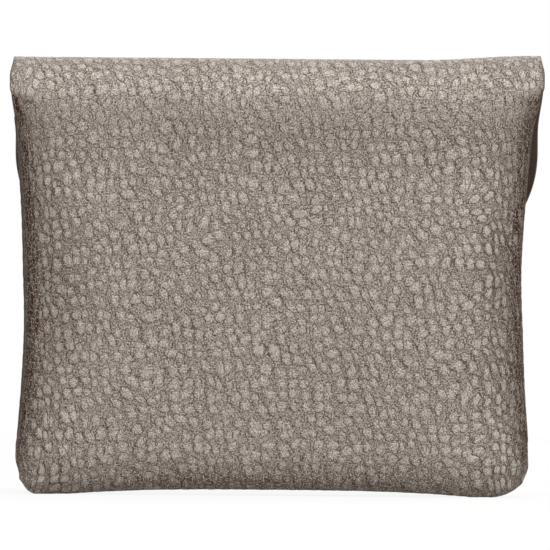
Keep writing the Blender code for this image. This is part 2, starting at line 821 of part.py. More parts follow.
def make_pull():
    # A flat tab that points to -X; its end bar lies in the bail's window on the joint's axis
    bar = PULL_BAR / 2
    neck = PULL_EYE_HALF + PULL_ARM
    end = -PULL_LENGTH + PULL_END_HALF
    outline = [(bar, -neck), (bar, neck), (-PULL_EYE - 2 * bar, neck), (end, PULL_END_HALF)]
    for step in range(1, 2 * CORNER_STEPS):
        angle = QUARTER + math.pi * step / (2 * CORNER_STEPS)
        outline.append(
            (end + PULL_END_HALF * math.cos(angle), PULL_END_HALF * math.sin(angle))
        )
    outline += [(end, -PULL_END_HALF), (-PULL_EYE - 2 * bar, -neck)]
    eye = [
        (-bar, -PULL_EYE_HALF), (-bar, PULL_EYE_HALF),
        (-PULL_EYE, PULL_EYE_HALF), (-PULL_EYE, -PULL_EYE_HALF),
    ]
    pull = flat(
        "zip_pull", [outline, eye], PULL_THICKNESS, (SLIDER_X, COIN_MIDDLE, PULL_AXIS), LEVEL
    )
    return nickel(pull)


# Press stud

def make_stud():
    # The post's head lies in the front lining, its shank goes through the hide into the stud
    head = FRONT_LINING
    flange = FRONT_OUT + FIT
    boss = flange + STUD_FLANGE_THICKNESS
    top = boss + STUD_BOSS_RISE
    roof = top - SLOT_WALL
    post = turned(
        "snap_post",
        [
            (0, roof - FIT - head), (SHANK, roof - FIT - head), (SHANK, LINING),
            (POST_HEAD, LINING), (POST_HEAD, 0), (0, 0),
        ],
        (0, head, STUD_HEIGHT),
    )
    bore = SHANK + FIT
    stud = turned(
        "snap_stud",
        [
            (0, top - flange), (STUD_BOSS, top - flange), (STUD_BOSS, STUD_FLANGE_THICKNESS),
            (STUD_FLANGE, STUD_FLANGE_THICKNESS), (STUD_FLANGE, 0),
            (bore, 0), (bore, roof - flange), (0, roof - flange),
        ],
        (0, flange, STUD_HEIGHT),
    )
    return [nickel(post), nickel(stud)]


def make_cap_and_socket():
    # The cap's shank goes through flap and lining into the plate of the socket
    cap_base = FLAP_OUT + FIT
    plate_top = FLAP_INSIDE - FIT
    cap = turned(
        "snap_cap",
        [
            (0, CAP_THICKNESS), (CAP_RADIUS * 0.6, CAP_THICKNESS - CAP_RADIUS * 0.02),
            (CAP_RADIUS * 0.92, CAP_THICKNESS * 0.6), (CAP_RADIUS, 0), (SHANK, 0),
            (SHANK, plate_top - SOCKET_PLATE - cap_base), (0, plate_top - SOCKET_PLATE - cap_base),
        ],
        (0, cap_base, STUD_HEIGHT),
    )
    room = STUD_BOSS + SOCKET_ROOM
    ring_low = plate_top - SOCKET_PLATE - SOCKET_RING
    bore = SHANK + FIT
    socket = turned(
        "snap_socket",
        [
            (bore, plate_top - ring_low), (SOCKET_RADIUS, plate_top - ring_low),
            (SOCKET_RADIUS, SOCKET_RING / 2), (SOCKET_RADIUS - SOCKET_RING / 2, 0), (room, 0),
            (room, SOCKET_RING), (bore, SOCKET_RING),
        ],
        (0, ring_low, STUD_HEIGHT),
    )
    return [nickel(cap), nickel(socket)]


# Assembly

def smooth_round_pieces(names):
    for name in names:
        mesh = bpy.data.objects[name].data
        mesh.shade_smooth()


def build():
    clear_scene()
    front_panel, back_panel, bridge_leather, flap_leather = make_hide()
    back_lining, bridge_lining, flap_lining, front_lining = make_linings()
    make_slots()
    make_bellows()
    pocket = make_coin_pocket() + make_zip()
    slider = make_slider()
    pull = make_pull()
    stud = make_stud()
    cap = make_cap_and_socket()
    hang("front_hinge", (0, FRONT_OUT, BASE_FOLD), [front_panel, front_lining] + stud)
    hang("coin_hinge", (BODY_SHIFT, COIN_MIDDLE, COIN_FLOOR), pocket)
    pull_pivot = hang("pull_hinge", (SLIDER_X, COIN_MIDDLE, PULL_AXIS), [pull])
    hang("slider_guide", (SLIDER_X, COIN_MIDDLE, CHAIN_HEIGHT), [slider, pull_pivot])
    rear_y, rear_z = walk(REAR_CREASE)[:2]
    fore_y, fore_z = walk(FRONT_CREASE)[:2]
    flap_pivot = hang(
        "flap_hinge", (0, fore_y, fore_z), [flap_leather, flap_lining] + cap
    )
    hang("bridge_hinge", (0, rear_y, rear_z), [bridge_leather, bridge_lining, flap_pivot])
    smooth_round_pieces(["snap_post", "snap_stud", "snap_cap", "snap_socket"])
    print(f"hinges: rear {rear_y:.5f} {rear_z:.5f}, fore {fore_y:.5f} {fore_z:.5f}")
    print(f"front hinge {FRONT_OUT:.5f} {BASE_FOLD:.5f}, coin hinge {COIN_MIDDLE:.5f} {COIN_FLOOR:.5f}")
    print(f"slider {SLIDER_X:.5f} {CHAIN_HEIGHT:.5f}, pull {PULL_AXIS:.5f}, back {BACK_OUT:.5f}")
    foot = flat_half(BACK_START - BASE_FOLD * QUARTER) - FOOT_LENGTH / 2
    print(f"foot {BODY_SHIFT + foot:.5f}, coin walls {COIN_REAR:.5f}, slots {SLOTS_REAR:.5f}")


build()
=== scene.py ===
# Leather flap wallet, dressed for a still: pebbled hide, linings, bellows, pockets, zip and press stud
# Metres, +Z up. The back faces -Y and the camera, the flap closes over the front on +Y.

import math
from functools import partial

import bmesh
import bpy
import numpy as np
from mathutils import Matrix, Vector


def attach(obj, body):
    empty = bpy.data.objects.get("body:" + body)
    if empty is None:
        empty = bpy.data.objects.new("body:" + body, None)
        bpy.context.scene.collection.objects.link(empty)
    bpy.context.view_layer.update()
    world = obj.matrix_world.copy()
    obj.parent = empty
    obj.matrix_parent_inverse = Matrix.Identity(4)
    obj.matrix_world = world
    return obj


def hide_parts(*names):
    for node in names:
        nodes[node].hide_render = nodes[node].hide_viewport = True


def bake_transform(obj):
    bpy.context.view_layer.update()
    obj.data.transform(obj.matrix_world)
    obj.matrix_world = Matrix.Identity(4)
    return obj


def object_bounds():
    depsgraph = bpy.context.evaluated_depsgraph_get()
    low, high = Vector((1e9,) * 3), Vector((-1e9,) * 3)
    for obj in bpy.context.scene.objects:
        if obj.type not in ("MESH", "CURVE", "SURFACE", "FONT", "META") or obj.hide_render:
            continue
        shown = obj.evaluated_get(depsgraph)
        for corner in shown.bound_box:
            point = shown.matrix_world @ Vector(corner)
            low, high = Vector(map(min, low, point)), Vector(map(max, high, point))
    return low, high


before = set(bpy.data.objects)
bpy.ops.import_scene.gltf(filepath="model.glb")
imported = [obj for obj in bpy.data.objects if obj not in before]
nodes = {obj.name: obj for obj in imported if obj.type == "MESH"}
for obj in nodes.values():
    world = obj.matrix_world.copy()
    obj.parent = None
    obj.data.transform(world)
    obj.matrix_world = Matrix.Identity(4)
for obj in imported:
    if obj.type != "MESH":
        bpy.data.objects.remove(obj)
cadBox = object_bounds()
scene = bpy.context.scene
quarter = math.pi / 2
print("frame loaded,", len(nodes), "nodes")


# Camera: straight on to the back, far off, with the photo's half degree of tilt

shot = {
    "aim": (-0.00014, -0.0146, 0.0517),  # the middle of the picture, on the back's plane
    "width": 0.12875,  # what the picture's 550 pixels span there
    "distance": 4.0,
    "tilt": math.radians(-0.5),
    "sensor": 36.0,
}


def makeCamera():
    data = bpy.data.cameras.new("camera")
    data.sensor_width = shot["sensor"]
    data.lens = shot["sensor"] * shot["distance"] / shot["width"]
    data.clip_start = 0.1
    data.clip_end = 20
    camera = bpy.data.objects.new("camera", data)
    camera.location = (shot["aim"][0], shot["aim"][1] - shot["distance"], shot["aim"][2])
    camera.rotation_euler = (quarter, shot["tilt"], 0)
    scene.collection.objects.link(camera)
    scene.camera = camera


makeCamera()
print("camera set")


# Node and colour helpers

def toLinear(code):
    # "#rrggbb" in sRGB to linear red, green, blue and alpha
    parts = [int(code[i:i + 2], 16) / 255 for i in (1, 3, 5)]
    return [c / 12.92 if c <= 0.04045 else ((c + 0.055) / 1.055) ** 2.4 for c in parts] + [1.0]


def fill(tree, node, inputs):
    # Links or sets a node's inputs, given by name or number, or in a row from the first one
    for name, value in inputs.items() if isinstance(inputs, dict) else enumerate(inputs):
        if isinstance(value, bpy.types.NodeSocket):
            tree.links.new(value, node.inputs[name])
        elif str(value).startswith("#"):
            node.inputs[name].default_value = toLinear(value)
        else:
            node.inputs[name].default_value = value


def addNode(tree, kind, inputs, out=0, **settings):
    # Adds a node with its settings and inputs, and returns one of its outputs.
    # A kind without the word Node is a shader node's
    node = tree.nodes.new(kind if "Node" in kind else "ShaderNode" + kind)
    for name, value in settings.items():
        setattr(node, name, value)
    fill(tree, node, inputs)
    return node.outputs[out] if node.outputs else node


def newMaterial(name):
    material = bpy.data.materials.new(name)
    material.use_nodes = True
    tree = material.node_tree
    return material, tree, tree.nodes["Principled BSDF"], partial(addNode, tree)


# Settings that many nodes share
times = {"operation": "MULTIPLY"}
timesPlus = {"operation": "MULTIPLY_ADD"}
alongAxis = {"operation": "DOT_PRODUCT", "out": "Value"}
eased = {"interpolation_type": "SMOOTHSTEP"}
blended = {"data_type": "RGBA", "out": 2}  # a Mix of the colours at its inputs 6 and 7
flat = {"noise_dimensions": "2D"}
cracks = {"voronoi_dimensions": "2D", "feature": "DISTANCE_TO_EDGE", "out": "Distance"}
slanted = {"wave_type": "BANDS", "bands_direction": "DIAGONAL", "out": "Fac"}


# Pebbled grain, shared by the hide's mesh and its material so that both have the same pebbles

grain = {
    "across": 2.8,  # mm from one pebble to the next, across the hide
    "along": 3.1,  # and along it
    "stagger": 0.25,  # how far each row stands to the side of the last, in pebbles
    "scatter": 0.58,
    "radius": (0.88, 1.25),  # mm of a pebble's top, smallest and largest
    "tall": 0.88,  # width of a pebble for a height of 1
    "top": (1.05, 0.4),  # where a top begins and where it has its full height, in radii
    "flattest": 0.6,  # height of the flattest pebble, for 1 of the roundest
    "wander": (5.0, 14.0, 0.5),  # folds that carry the pebbles off their grid: mm moved, size, roughness
    "bend": (0.8, 2.0, 0.4),  # the same for the curve of each pebble's outline
    "seam": 0.07,  # half width of a crease between pebbles, in pebbles
    "ring": (1.12, 0.2),  # middle and half width of the crease round a pebble, in radii
    "ringLeast": 0.3,  # what is left of it on the closed flanks
    "flank": (0.2, 0.9),  # how well a flank lies along the lean when its crease begins to open, and is open
    "opened": (0.8, 0.38, 0.58, 0.3),  # patches per mm, noise where creases are closed and open, what is left
    "wrinkle": (1.3, 0.16),  # mm between fine wrinkles, and their half width in shares of that
    "lean": math.radians(28),  # of the long creases
    "creaseSize": (2.6, 10.0),  # mm across and along the long creases
    "creaseFlank": (0.45, 0.8),
    "creasePatches": (0.9, 0.4, 0.55, 0.0),
    "relief": 0.00013,  # m from crease to pebble top
    "depths": (0.55, -0.3, -0.25),  # of tops, creases and long creases, in reliefs
    "foldPlace": 197.0,  # mm along the hide where the flap's fold has pressed the pebbles flat
    "foldSpread": 5.5,
    "foldLeft": 0.4,  # what is left of them there
}


def spotPattern(tree, place, scatter):
    # Scattered points: the step from the nearest, the distance to the next one's edge, and a random colour
    inputs = {"Vector": place, "Scale": 1.0, "Randomness": scatter}
    near = addNode(tree, "TexVoronoi", inputs, "Position", voronoi_dimensions="2D", feature="F1")
    step = addNode(tree, "VectorMath", (place, near), operation="SUBTRACT")
    edge = addNode(tree, "TexVoronoi", inputs, **cracks)
    return step, edge, near.node.outputs["Color"]


def alignment(tree, step, direction, weakest, strongest):
    # 0 where the step lies across the direction, 1 where it lies along it
    step = addNode(tree, "VectorMath", (step,), operation="NORMALIZE")
    share = addNode(tree, "VectorMath", (step, direction), **alongAxis)
    share = addNode(tree, "Math", (share,), operation="ABSOLUTE")
    return addNode(tree, "MapRange", (share, weakest, strongest), **eased)


def patches(tree, place, perMm, low, high, least):
    # Soft patches: the least where a noise is under low, 1 where it is over high
    noise = addNode(tree, "TexNoise", {"Vector": place, "Scale": perMm, "Detail": 1.0}, **flat)
    return addNode(tree, "MapRange", (noise, low, high, least, 1.0), **eased)


def farFrom(tree, value, middle):
    # How far a value is from the middle, on either side
    value = addNode(tree, "Math", (value, middle), operation="SUBTRACT")
    return addNode(tree, "Math", (value,), operation="ABSOLUTE")


def pebbleHeight(tree, place):
    # From a place in mm on the hide: round tops, creases between them, long creases and fine wrinkles, 0 to 1
    add = partial(addNode, tree)
    carried = [place]
    for reach, size, roughness in (grain["wander"], grain["bend"]):
        noise = {"Vector": place, "Scale": 1 / size, "Detail": 1.0, "Roughness": roughness}
        noise = add("VectorMath", (add("TexNoise", noise, "Color", **flat), (0.5,) * 3), operation="SUBTRACT")
        carried.append(add("VectorMath", (noise, (reach,) * 3, carried[-1]), **timesPlus))
    drift, curve = carried[1:]
    # Rows of pebbles, each beside the gaps of the last
    across, along, stagger = grain["across"], grain["along"], grain["stagger"]
    axes = ((1 / across, stagger / along, 0), (0, 1 / along, 0))
    cell = [add("VectorMath", (curve, axis), **alongAxis) for axis in axes]
    step, edge, chance = spotPattern(tree, add("CombineXYZ", cell), grain["scatter"])
    axes = ((across, -stagger * across, 0), (0, along, 0))
    step = add("CombineXYZ", [add("VectorMath", (step, axis), **alongAxis) for axis in axes])
    away = add("VectorMath", (step, (1, grain["tall"], 1)), **times)
    away = add("VectorMath", (away,), "Value", operation="LENGTH")
    chance = add("SeparateXYZ", (chance,)).node.outputs
    radius = add("MapRange", (chance[0], 0, 1, *grain["radius"]))
    away = add("Math", (away, radius), operation="DIVIDE")
    plump = add("MapRange", (chance[1], 0, 1, grain["flattest"], 1))
    folded = farFrom(tree, add("SeparateXYZ", (drift,), "Y"), grain["foldPlace"])
    folded = add("MapRange", (folded, 0, grain["foldSpread"], grain["foldLeft"], 1), **eased)
    top = add("MapRange", (away, *grain["top"]), **eased)
    for share in (plump, folded):
        top = add("Math", (top, share), **times)
    # The hide was stretched one way, so a pebble's two flanks that lie along the lean have open creases
    lean = grain["lean"]
    flank = alignment(tree, step, (math.cos(lean), math.sin(lean), 0), *grain["flank"])
    middle, half = grain["ring"]
    arc = add("MapRange", (farFrom(tree, away, middle), half, 0), **eased)
    arc = add("Math", (arc, add("MapRange", (flank, 0, 1, grain["ringLeast"], 1))), **times)
    crease = add("Math", (add("MapRange", (edge, grain["seam"], 0), **eased), flank), **times)
    crease = add("Math", (crease, arc), operation="MAXIMUM")
    crease = add("Math", (crease, patches(tree, place, *grain["opened"])), **times)
    # Long creases that lean one way
    lying = add("VectorRotate", {"Vector": curve, "Angle": -lean}, rotation_type="Z_AXIS")
    wide, tall = grain["creaseSize"]
    lying = add("VectorMath", (lying, (1 / wide, 1 / tall, 1)), **times)
    step, long = spotPattern(tree, lying, 1.0)[:2]
    long = add("MapRange", (long, grain["seam"], 0), **eased)
    flank = alignment(tree, step, (1, 0, 0), *grain["creaseFlank"])
    for share in (flank, patches(tree, lying, *grain["creasePatches"])):
        long = add("Math", (long, share), **times)
    apart, half = grain["wrinkle"]
    wrinkle = add("TexVoronoi", {"Vector": curve, "Scale": 1 / apart, "Randomness": 1.0}, **cracks)
    return top, crease, long, add("MapRange", (wrinkle, half, 0), **eased)


def makeGrainModifier():
    # Moves a skin's points inwards along their own outward directions, deepest in the creases
    tree = bpy.data.node_groups.new("pebbledGrain", "GeometryNodeTree")
    add = partial(addNode, tree)
    for way in ("INPUT", "OUTPUT"):
        tree.interface.new_socket("Geometry", in_out=way, socket_type="NodeSocketGeometry")
    place, outward = (add("GeometryNodeInputNamedAttribute", {"Name": name}, data_type="FLOAT_VECTOR")
                      for name in ("hideMap", "hideOut"))
    depth = -grain["depths"][0]
    for part, weight in zip(pebbleHeight(tree, place), grain["depths"]):
        depth = add("Math", (part, weight, depth), **timesPlus)
    for scale in (depth, grain["relief"]):
        outward = add("VectorMath", {0: outward, "Scale": scale}, operation="SCALE")
    skin = add("NodeGroupInput", {})
    skin = add("GeometryNodeSetPosition", {"Geometry": skin, "Offset": outward})
    add("NodeGroupOutput", (skin,))
    return tree


grainModifier = makeGrainModifier()


# Materials

leatherLook = {
    "crease": "#473d36",
    "valley": "#756b62",
    "field": "#918880",
    "top": "#c2bab2",
    "stops": ((0.28, "valley"), (0.52, "field")),  # tones that these colours stand for
    "rub": "#b9b0a7",  # light scuffs where the roll and the base bend
    "shade": "#2e1b0f",  # painted shade along the rolled sides, the base, under the top's bend and along the folds over the top, and the edge paint where it laps over the grain
    "shadeTint": "#f0cbb0",  # tint of the reflections in the painted shade
    "metallic": 0.2,
    "roughness": (0.76, 0.56),  # in a crease and on a pebble's top
    "shine": 0.35,
    "bump": (0.6, 0.00022, 0.5),  # strength, m of depth, and the flecks' share
    "fieldTone": 0.5,
    "tones": (0.25, 0.05, -0.42, -0.25, -0.2),  # what tops, pull, creases, long creases and wrinkles add
    "fleck": (2.7, 0.9),  # pigment grains per mm, and roughness
    "fleckNoise": (0.25, 0.75),  # noise at the darkest and the lightest
    "fleckTone": (0.9, -0.45),  # what they add
    "cloud": (0.07, 3.0),  # faint clouds per mm, and detail
    "cloudTone": (0.12, -0.06),
    "pull": (42.0, 56.0),  # mm from the middle where the roll begins to pull the skin, and pulls fully
    "pullEnd": (192.0, 180.0),  # mm along the hide where that ends, and is full again
    "pullOpens": 0.75,
    "furrows": (0.36, 0.14, 0),  # upright furrows per mm, across and along
    "furrow": (0.13, 0.8),  # half width and depth
    "furrowFlank": (0.3, 0.7),
    "lightBand": (199.3, 5.5, 1.5, 0.075),  # painted lighter band: mm along the hide, mm it reaches and reaches fully, tone added
    "streaks": (0.75, 0.2, 0),  # upright streaks in the painted shade, per mm, across and along
    "streak": (0.3, 0.68, 0.6, 1.3),  # noise at the weakest and strongest, and their strengths
    "scuff": (0.75, 0.16),  # scuff lines per mm, and half width
    "scuffBegins": (0.15, 0.55),  # shade where scuffs begin, and are full
    "scuffBreaks": (0.48, 0.75, 0.0, 0.85),  # flecks that break the lines, and what shows of them
}


def makeLeather(name, look):
    # Pebbled calf, printed under a hot plate and sprayed with pearl pigment: a soft metal sheen on the pebble
    # tops and darker, dull creases between them. Its colours are partly that pigment, partly painted highlight
    # on the tops and painted shade in the creases
    material, tree, surface, add = newMaterial(name)
    place = add("Attribute", {}, "Vector", attribute_name="hideMap")
    across, along, shade = add("SeparateXYZ", (place,)).node.outputs
    top, crease, long, wrinkle = pebbleHeight(tree, place)
    # Towards the sides the skin is pulled round the roll, which opens the creases and adds upright furrows, and
    # the pebbles' painted highlight and shade are stronger there
    pull = add("MapRange", (farFrom(tree, across, 0), *look["pull"]), **eased)
    pull = add("Math", (pull, add("MapRange", (along, *look["pullEnd"]), **eased)), **times)
    more = add("Math", (pull, look["pullOpens"], 1), **timesPlus)
    top, crease = (add("Math", (part, more), **times) for part in (top, crease))
    upright = add("VectorMath", (place, look["furrows"]), **times)
    step, furrow = spotPattern(tree, upright, 1.0)[:2]
    half, depth = look["furrow"]
    furrow = add("MapRange", (furrow, half, 0, 0, depth), **eased)
    for share in (alignment(tree, step, (1, 0, 0), *look["furrowFlank"]), pull):
        furrow = add("Math", (furrow, share), **times)
    long = add("Math", (long, furrow), operation="MAXIMUM")
    # What the colours follow: 0 in a crease, about a half on the field, 1 on a pebble's top, so that they hold
    # painted shade in the creases and a painted highlight on the tops as well as the pigment
    tone = look["fieldTone"]
    for part, weight in zip((top, pull, crease, long, wrinkle), look["tones"]):
        tone = add("Math", (part, weight, tone), **timesPlus)
    relief = tone
    # Painted light: a lighter band where the hide begins to roll over the top
    middle, reach, full, lighter = look["lightBand"]
    paintedLight = add("MapRange", (farFrom(tree, along, middle), reach, full, 0, lighter), **eased)
    # Pigment grains of a tenth of a millimetre, drawn at three to five tenths so that they show
    perMm, rough = look["fleck"]
    fleck = add("TexNoise", {"Vector": place, "Scale": perMm, "Detail": 1.0, "Roughness": rough}, **flat)
    fleck = add("MapRange", (fleck, *look["fleckNoise"]))
    perMm, detail = look["cloud"]
    cloud = add("TexNoise", {"Vector": place, "Scale": perMm, "Detail": detail}, **flat)
    fleckTone = add("Math", (fleck, *look["fleckTone"]), **timesPlus)
    cloudTone = add("Math", (cloud, *look["cloudTone"]), **timesPlus)
    for part in (paintedLight, fleckTone, cloudTone):
        tone = add("Math", (tone, part), operation="ADD")
    ramp = add("ValToRGB", {"Fac": tone}, "Color")
    stops = ramp.node.color_ramp.elements
    stops[0].color = toLinear(look["crease"])
    stops[1].color = toLinear(look["top"])
    for position, key in look["stops"]:
        stops.new(position).color = toLinear(look[key])
    # The painted shade, broken into upright streaks
    streak = add("VectorMath", (place, look["streaks"]), **times)
    streak = add("TexNoise", {"Vector": streak, "Scale": 1.0, "Detail": 3.0, "Roughness": 0.65}, **flat)
    streak = add("MapRange", (streak, *look["streak"]))
    shade = add("Math", (shade, streak), use_clamp=True, **times)
    # Mixes in the dark colour by the painted shade
    wearAndShade = add("Mix", {0: shade, 6: ramp, 7: look["shade"]}, **blended)
    perMm, half = look["scuff"]
    scuff = add("TexVoronoi", {"Vector": place, "Scale": perMm, "Randomness": 1.0}, **cracks)
    scuff = add("MapRange", (scuff, half, 0), **eased)
    for part, limits in ((shade, look["scuffBegins"]), (fleck, look["scuffBreaks"])):
        scuff = add("Math", (scuff, add("MapRange", (part, *limits), **eased)), **times)
    strength, deep, share = look["bump"]
    relief = add("Math", (fleck, share, relief), **timesPlus)
    fill(tree, surface, {
        "Base Color": add("Mix", {0: scuff, 6: wearAndShade, 7: look["rub"]}, **blended),
        "Roughness": add("MapRange", (tone, 0, 1, *look["roughness"])),
        "Metallic": look["metallic"],
        "Specular IOR Level": look["shine"],
        # Reflections in the painted shade take a warm tint
        "Specular Tint": add("Mix", {0: shade, 6: "#ffffff", 7: look["shadeTint"]}, **blended),
        "Normal": add("Bump", {"Strength": strength, "Distance": deep, "Height": relief}),
    })
    return material


def makeEdgePaint():
    # Cut edge, sanded and painted by hand in dark brown: a satin bead with waves of about a millimetre
    material, tree, surface, add = newMaterial("edge paint")
    place = add("TexCoord", {}, "Object")
    wave = add("TexNoise", {"Vector": place, "Scale": 900.0, "Detail": 3.0})
    fill(tree, surface, {
        "Base Color": add("Mix", {0: wave, 6: "#2c221c", 7: "#5a4a3f"}, **blended),
        "Roughness": 0.5,
        "Normal": add("Bump", {"Strength": 0.4, "Distance": 0.0001, "Height": wave}),
    })
    return material


def makeSuede(name, light, dark):
    # Flesh side of the split: short brushed nap, matt, with darker rubbed patches of about 11 mm.
    # Real nap is finer; it is drawn at 0.4 mm so that it shows
    material, tree, surface, add = newMaterial(name)
    place = add("TexCoord", {}, "Object")
    nap = add("TexNoise", {"Vector": place, "Scale": 2500.0, "Detail": 4.0})
    patch = add("TexNoise", {"Vector": place, "Scale": 90.0, "Detail": 3.0})
    wearAndShade = add("Math", (patch, 0.6, nap), **timesPlus)
    wearAndShade = add("MapRange", {"Value": wearAndShade, "From Min": 0.55, "From Max": 1.05})
    fill(tree, surface, {
        "Base Color": add("Mix", {0: wearAndShade, 6: dark, 7: light}, **blended),
        "Roughness": 0.92,
        "Sheen Weight": 0.12,
        "Normal": add("Bump", {"Strength": 0.5, "Distance": 0.0001, "Height": nap}),
    })
    return material


def makeTwill(name, light, dark, spacing):
    # Woven twill: diagonal ribs. Real thread is about 0.15 mm, drawn coarser so that it shows
    material, tree, surface, add = newMaterial(name)
    place = add("Attribute", {}, "Vector", attribute_name="hideMap")
    rib = {"Vector": place, "Scale": 0.35 / spacing, "Distortion": 0.6, "Detail": 1.0}
    weave = add("TexWave", rib, **slanted)
    warp = {"Vector": place, "Scale": 0.5 / spacing, "Distortion": 0.3}
    warp = add("TexWave", warp, "Fac", wave_type="BANDS", bands_direction="X")
    fuzz = add("TexNoise", {"Vector": place, "Scale": 0.35, "Detail": 4.0}, **flat)
    for part, weight in ((warp, 0.4), (fuzz, 0.5)):
        weave = add("Math", (part, weight, weave), **timesPlus)
    weave = add("MapRange", {"Value": weave, "From Min": 0.2, "From Max": 1.6})
    fill(tree, surface, {
        "Base Color": add("Mix", {0: weave, 6: dark, 7: light}, **blended),
        "Roughness": 0.78,
        "Sheen Weight": 0.2,
        "Normal": add("Bump", {"Strength": 0.6, "Distance": 0.00008, "Height": weave}),
    })
    return material


def makeNickel():
    # Nickel-plated brass, barrel polished: warm grey mirror broken by hairline rubs under a millimetre long
    material, tree, surface, add = newMaterial("nickel plate")
    place = add("TexCoord", {}, "Object")
    rub = add("TexNoise", {"Vector": place, "Scale": 1400.0, "Detail": 3.0})
    cloud = add("TexNoise", {"Vector": place, "Scale": 220.0, "Detail": 2.0})
    fill(tree, surface, {
        "Base Color": add("Mix", {0: cloud, 6: "#aaa195", 7: "#c9c2b8"}, **blended),
        "Roughness": add("MapRange", {"Value": rub, "To Min": 0.18, "To Max": 0.38}),
        "Metallic": 1.0,
        "Normal": add("Bump", {"Strength": 0.12, "Distance": 0.00003, "Height": rub}),
    })
    return material


def makeThread():
    # Bonded sewing thread, three plies twisted, waxed: fine slanting ridges
    material, tree, surface, add = newMaterial("bonded thread")
    place = add("TexCoord", {}, "Object")
    ply = add("TexWave", {"Vector": place, "Scale": 1500.0, "Distortion": 1.0}, **slanted)
    colour = add("Mix", {0: ply, 6: "#6a5d51", 7: "#a3978a"}, **blended)
    fill(tree, surface, {"Base Color": colour, "Roughness": 0.55})
    return material


hideLeather = makeLeather("pebbled calf", leatherLook)
edgePaint = makeEdgePaint()
# The flesh side's colours are partly its own brown and partly painted shade, darkened for where the flap's
# inside shows beside the body
fleshSide = makeSuede("flesh side", "#4c382a", "#2a1c13")
pocketSuede = makeSuede("pocket split", "#6d6055", "#443930")
liningTwill = makeTwill("twill lining", "#5d5349", "#322b26", 0.55)
zipTwill = makeTwill("zip tape", "#57504a", "#2b2723", 0.4)
nickel = makeNickel()
thread = makeThread()
print("materials made")


# The hide's sizes and path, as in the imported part: it runs from the front's top edge down, under, up the back
# and over

hide = {
    "thick": 0.0012,
    "fit": 0.0003,  # room between sewn layers
    "lining": 0.0006,
    "height": round(cadBox[1][2], 4),
    "earHalf": round(cadBox[1][0], 4),  # of the flap's root, which is the widest place
    "shoulderHalf": 0.061,
    "waistHalf": 0.0582,
    "footHalf": 0.06,
    "waistHeight": 0.048,
    "footHeight": 0.0115,
    "seamTop": 0.0915,  # where the side seams end and the hide widens into its root
    "earRun": 0.0035,
    "cornerRadius": 0.007,
    "baseRise": 0.0013,  # how far the base arches up between its feet
    "footLength": 0.0045,
    "riseFade": 0.02,
    "bodyShift": -0.0007,  # the body stands a little to the left under its flap
    "frontPeek": 0.0006,  # and its front a little further
    "baseFold": 0.0035,
    "topFold": 0.01,
    "rollRadius": 0.0032,
    "returnLength": 0.0025,  # straight leather behind the rolled edge
    "baseReturn": 0.0005,
    "fullRoll": math.radians(90),
    "baseRoll": math.radians(55),
    "earRoll": math.radians(12),
    "rollLow": 0.004,
    "rollHigh": 0.014,
    "unrollRun": 0.007,
    "frontTop": 0.088,
    "flapHalf": 0.0613,
    "flapBottom": 0.0545,
    "flapCorner": 0.026,
    "flapNarrowing": 0.01,
    "narrowEarly": 0.003,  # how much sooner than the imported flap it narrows
    "liningMargin": 0.0014,  # how far inside the edge a lining ends
    "backOut": round(cadBox[0][1], 4),
    "frontOut": 0.0084,
    "flapOut": 0.0135,
    "pace": 0.00052,  # spacing of the mesh, fine enough to hold the pebbles
    "flatHalf": 0.0575,  # the widest flat half, which sets the number of columns
    "rollSteps": 9,
    "returnSteps": 4,
    "cornerRows": 48,  # rows round the flap's lower corners
    "coarse": 4,  # the inner face has every fourth of its points
    "edgeBead": 0.00025,  # how far the painted edge swells
    "squeeze": (0.008, 0.012),  # how far before the roll the grain's squeeze begins, and its run
}

hidePath = [
    (0, hide["frontTop"] - hide["baseFold"]),
    (hide["baseFold"], hide["baseFold"] * quarter),
    (0, hide["frontOut"] - hide["backOut"] - 2 * hide["baseFold"]),
    (hide["baseFold"], hide["baseFold"] * quarter),
    (0, hide["height"] - hide["topFold"] - hide["baseFold"]),
    (hide["topFold"], hide["topFold"] * quarter),
    (0, hide["flapOut"] - hide["backOut"] - 2 * hide["topFold"]),
    (hide["topFold"], hide["topFold"] * quarter),
    (0, hide["height"] - hide["topFold"] - hide["flapBottom"]),
]
lengths = [length for bend, length in hidePath]
frontEnd = lengths[0]
baseMiddle = frontEnd + lengths[1] + lengths[2] / 2
backStart = sum(lengths[:4])
backEnd = sum(lengths[:5])
bridgeStart = sum(lengths[:6])
bridgeMiddle = bridgeStart + lengths[6] / 2
bridgeEnd = sum(lengths[:7])
frontCrease = bridgeEnd + lengths[7] / 2
hideEnd = sum(lengths)
flapStart = hideEnd - lengths[8]
seamEnd = backEnd - (hide["height"] - hide["topFold"] - hide["seamTop"])

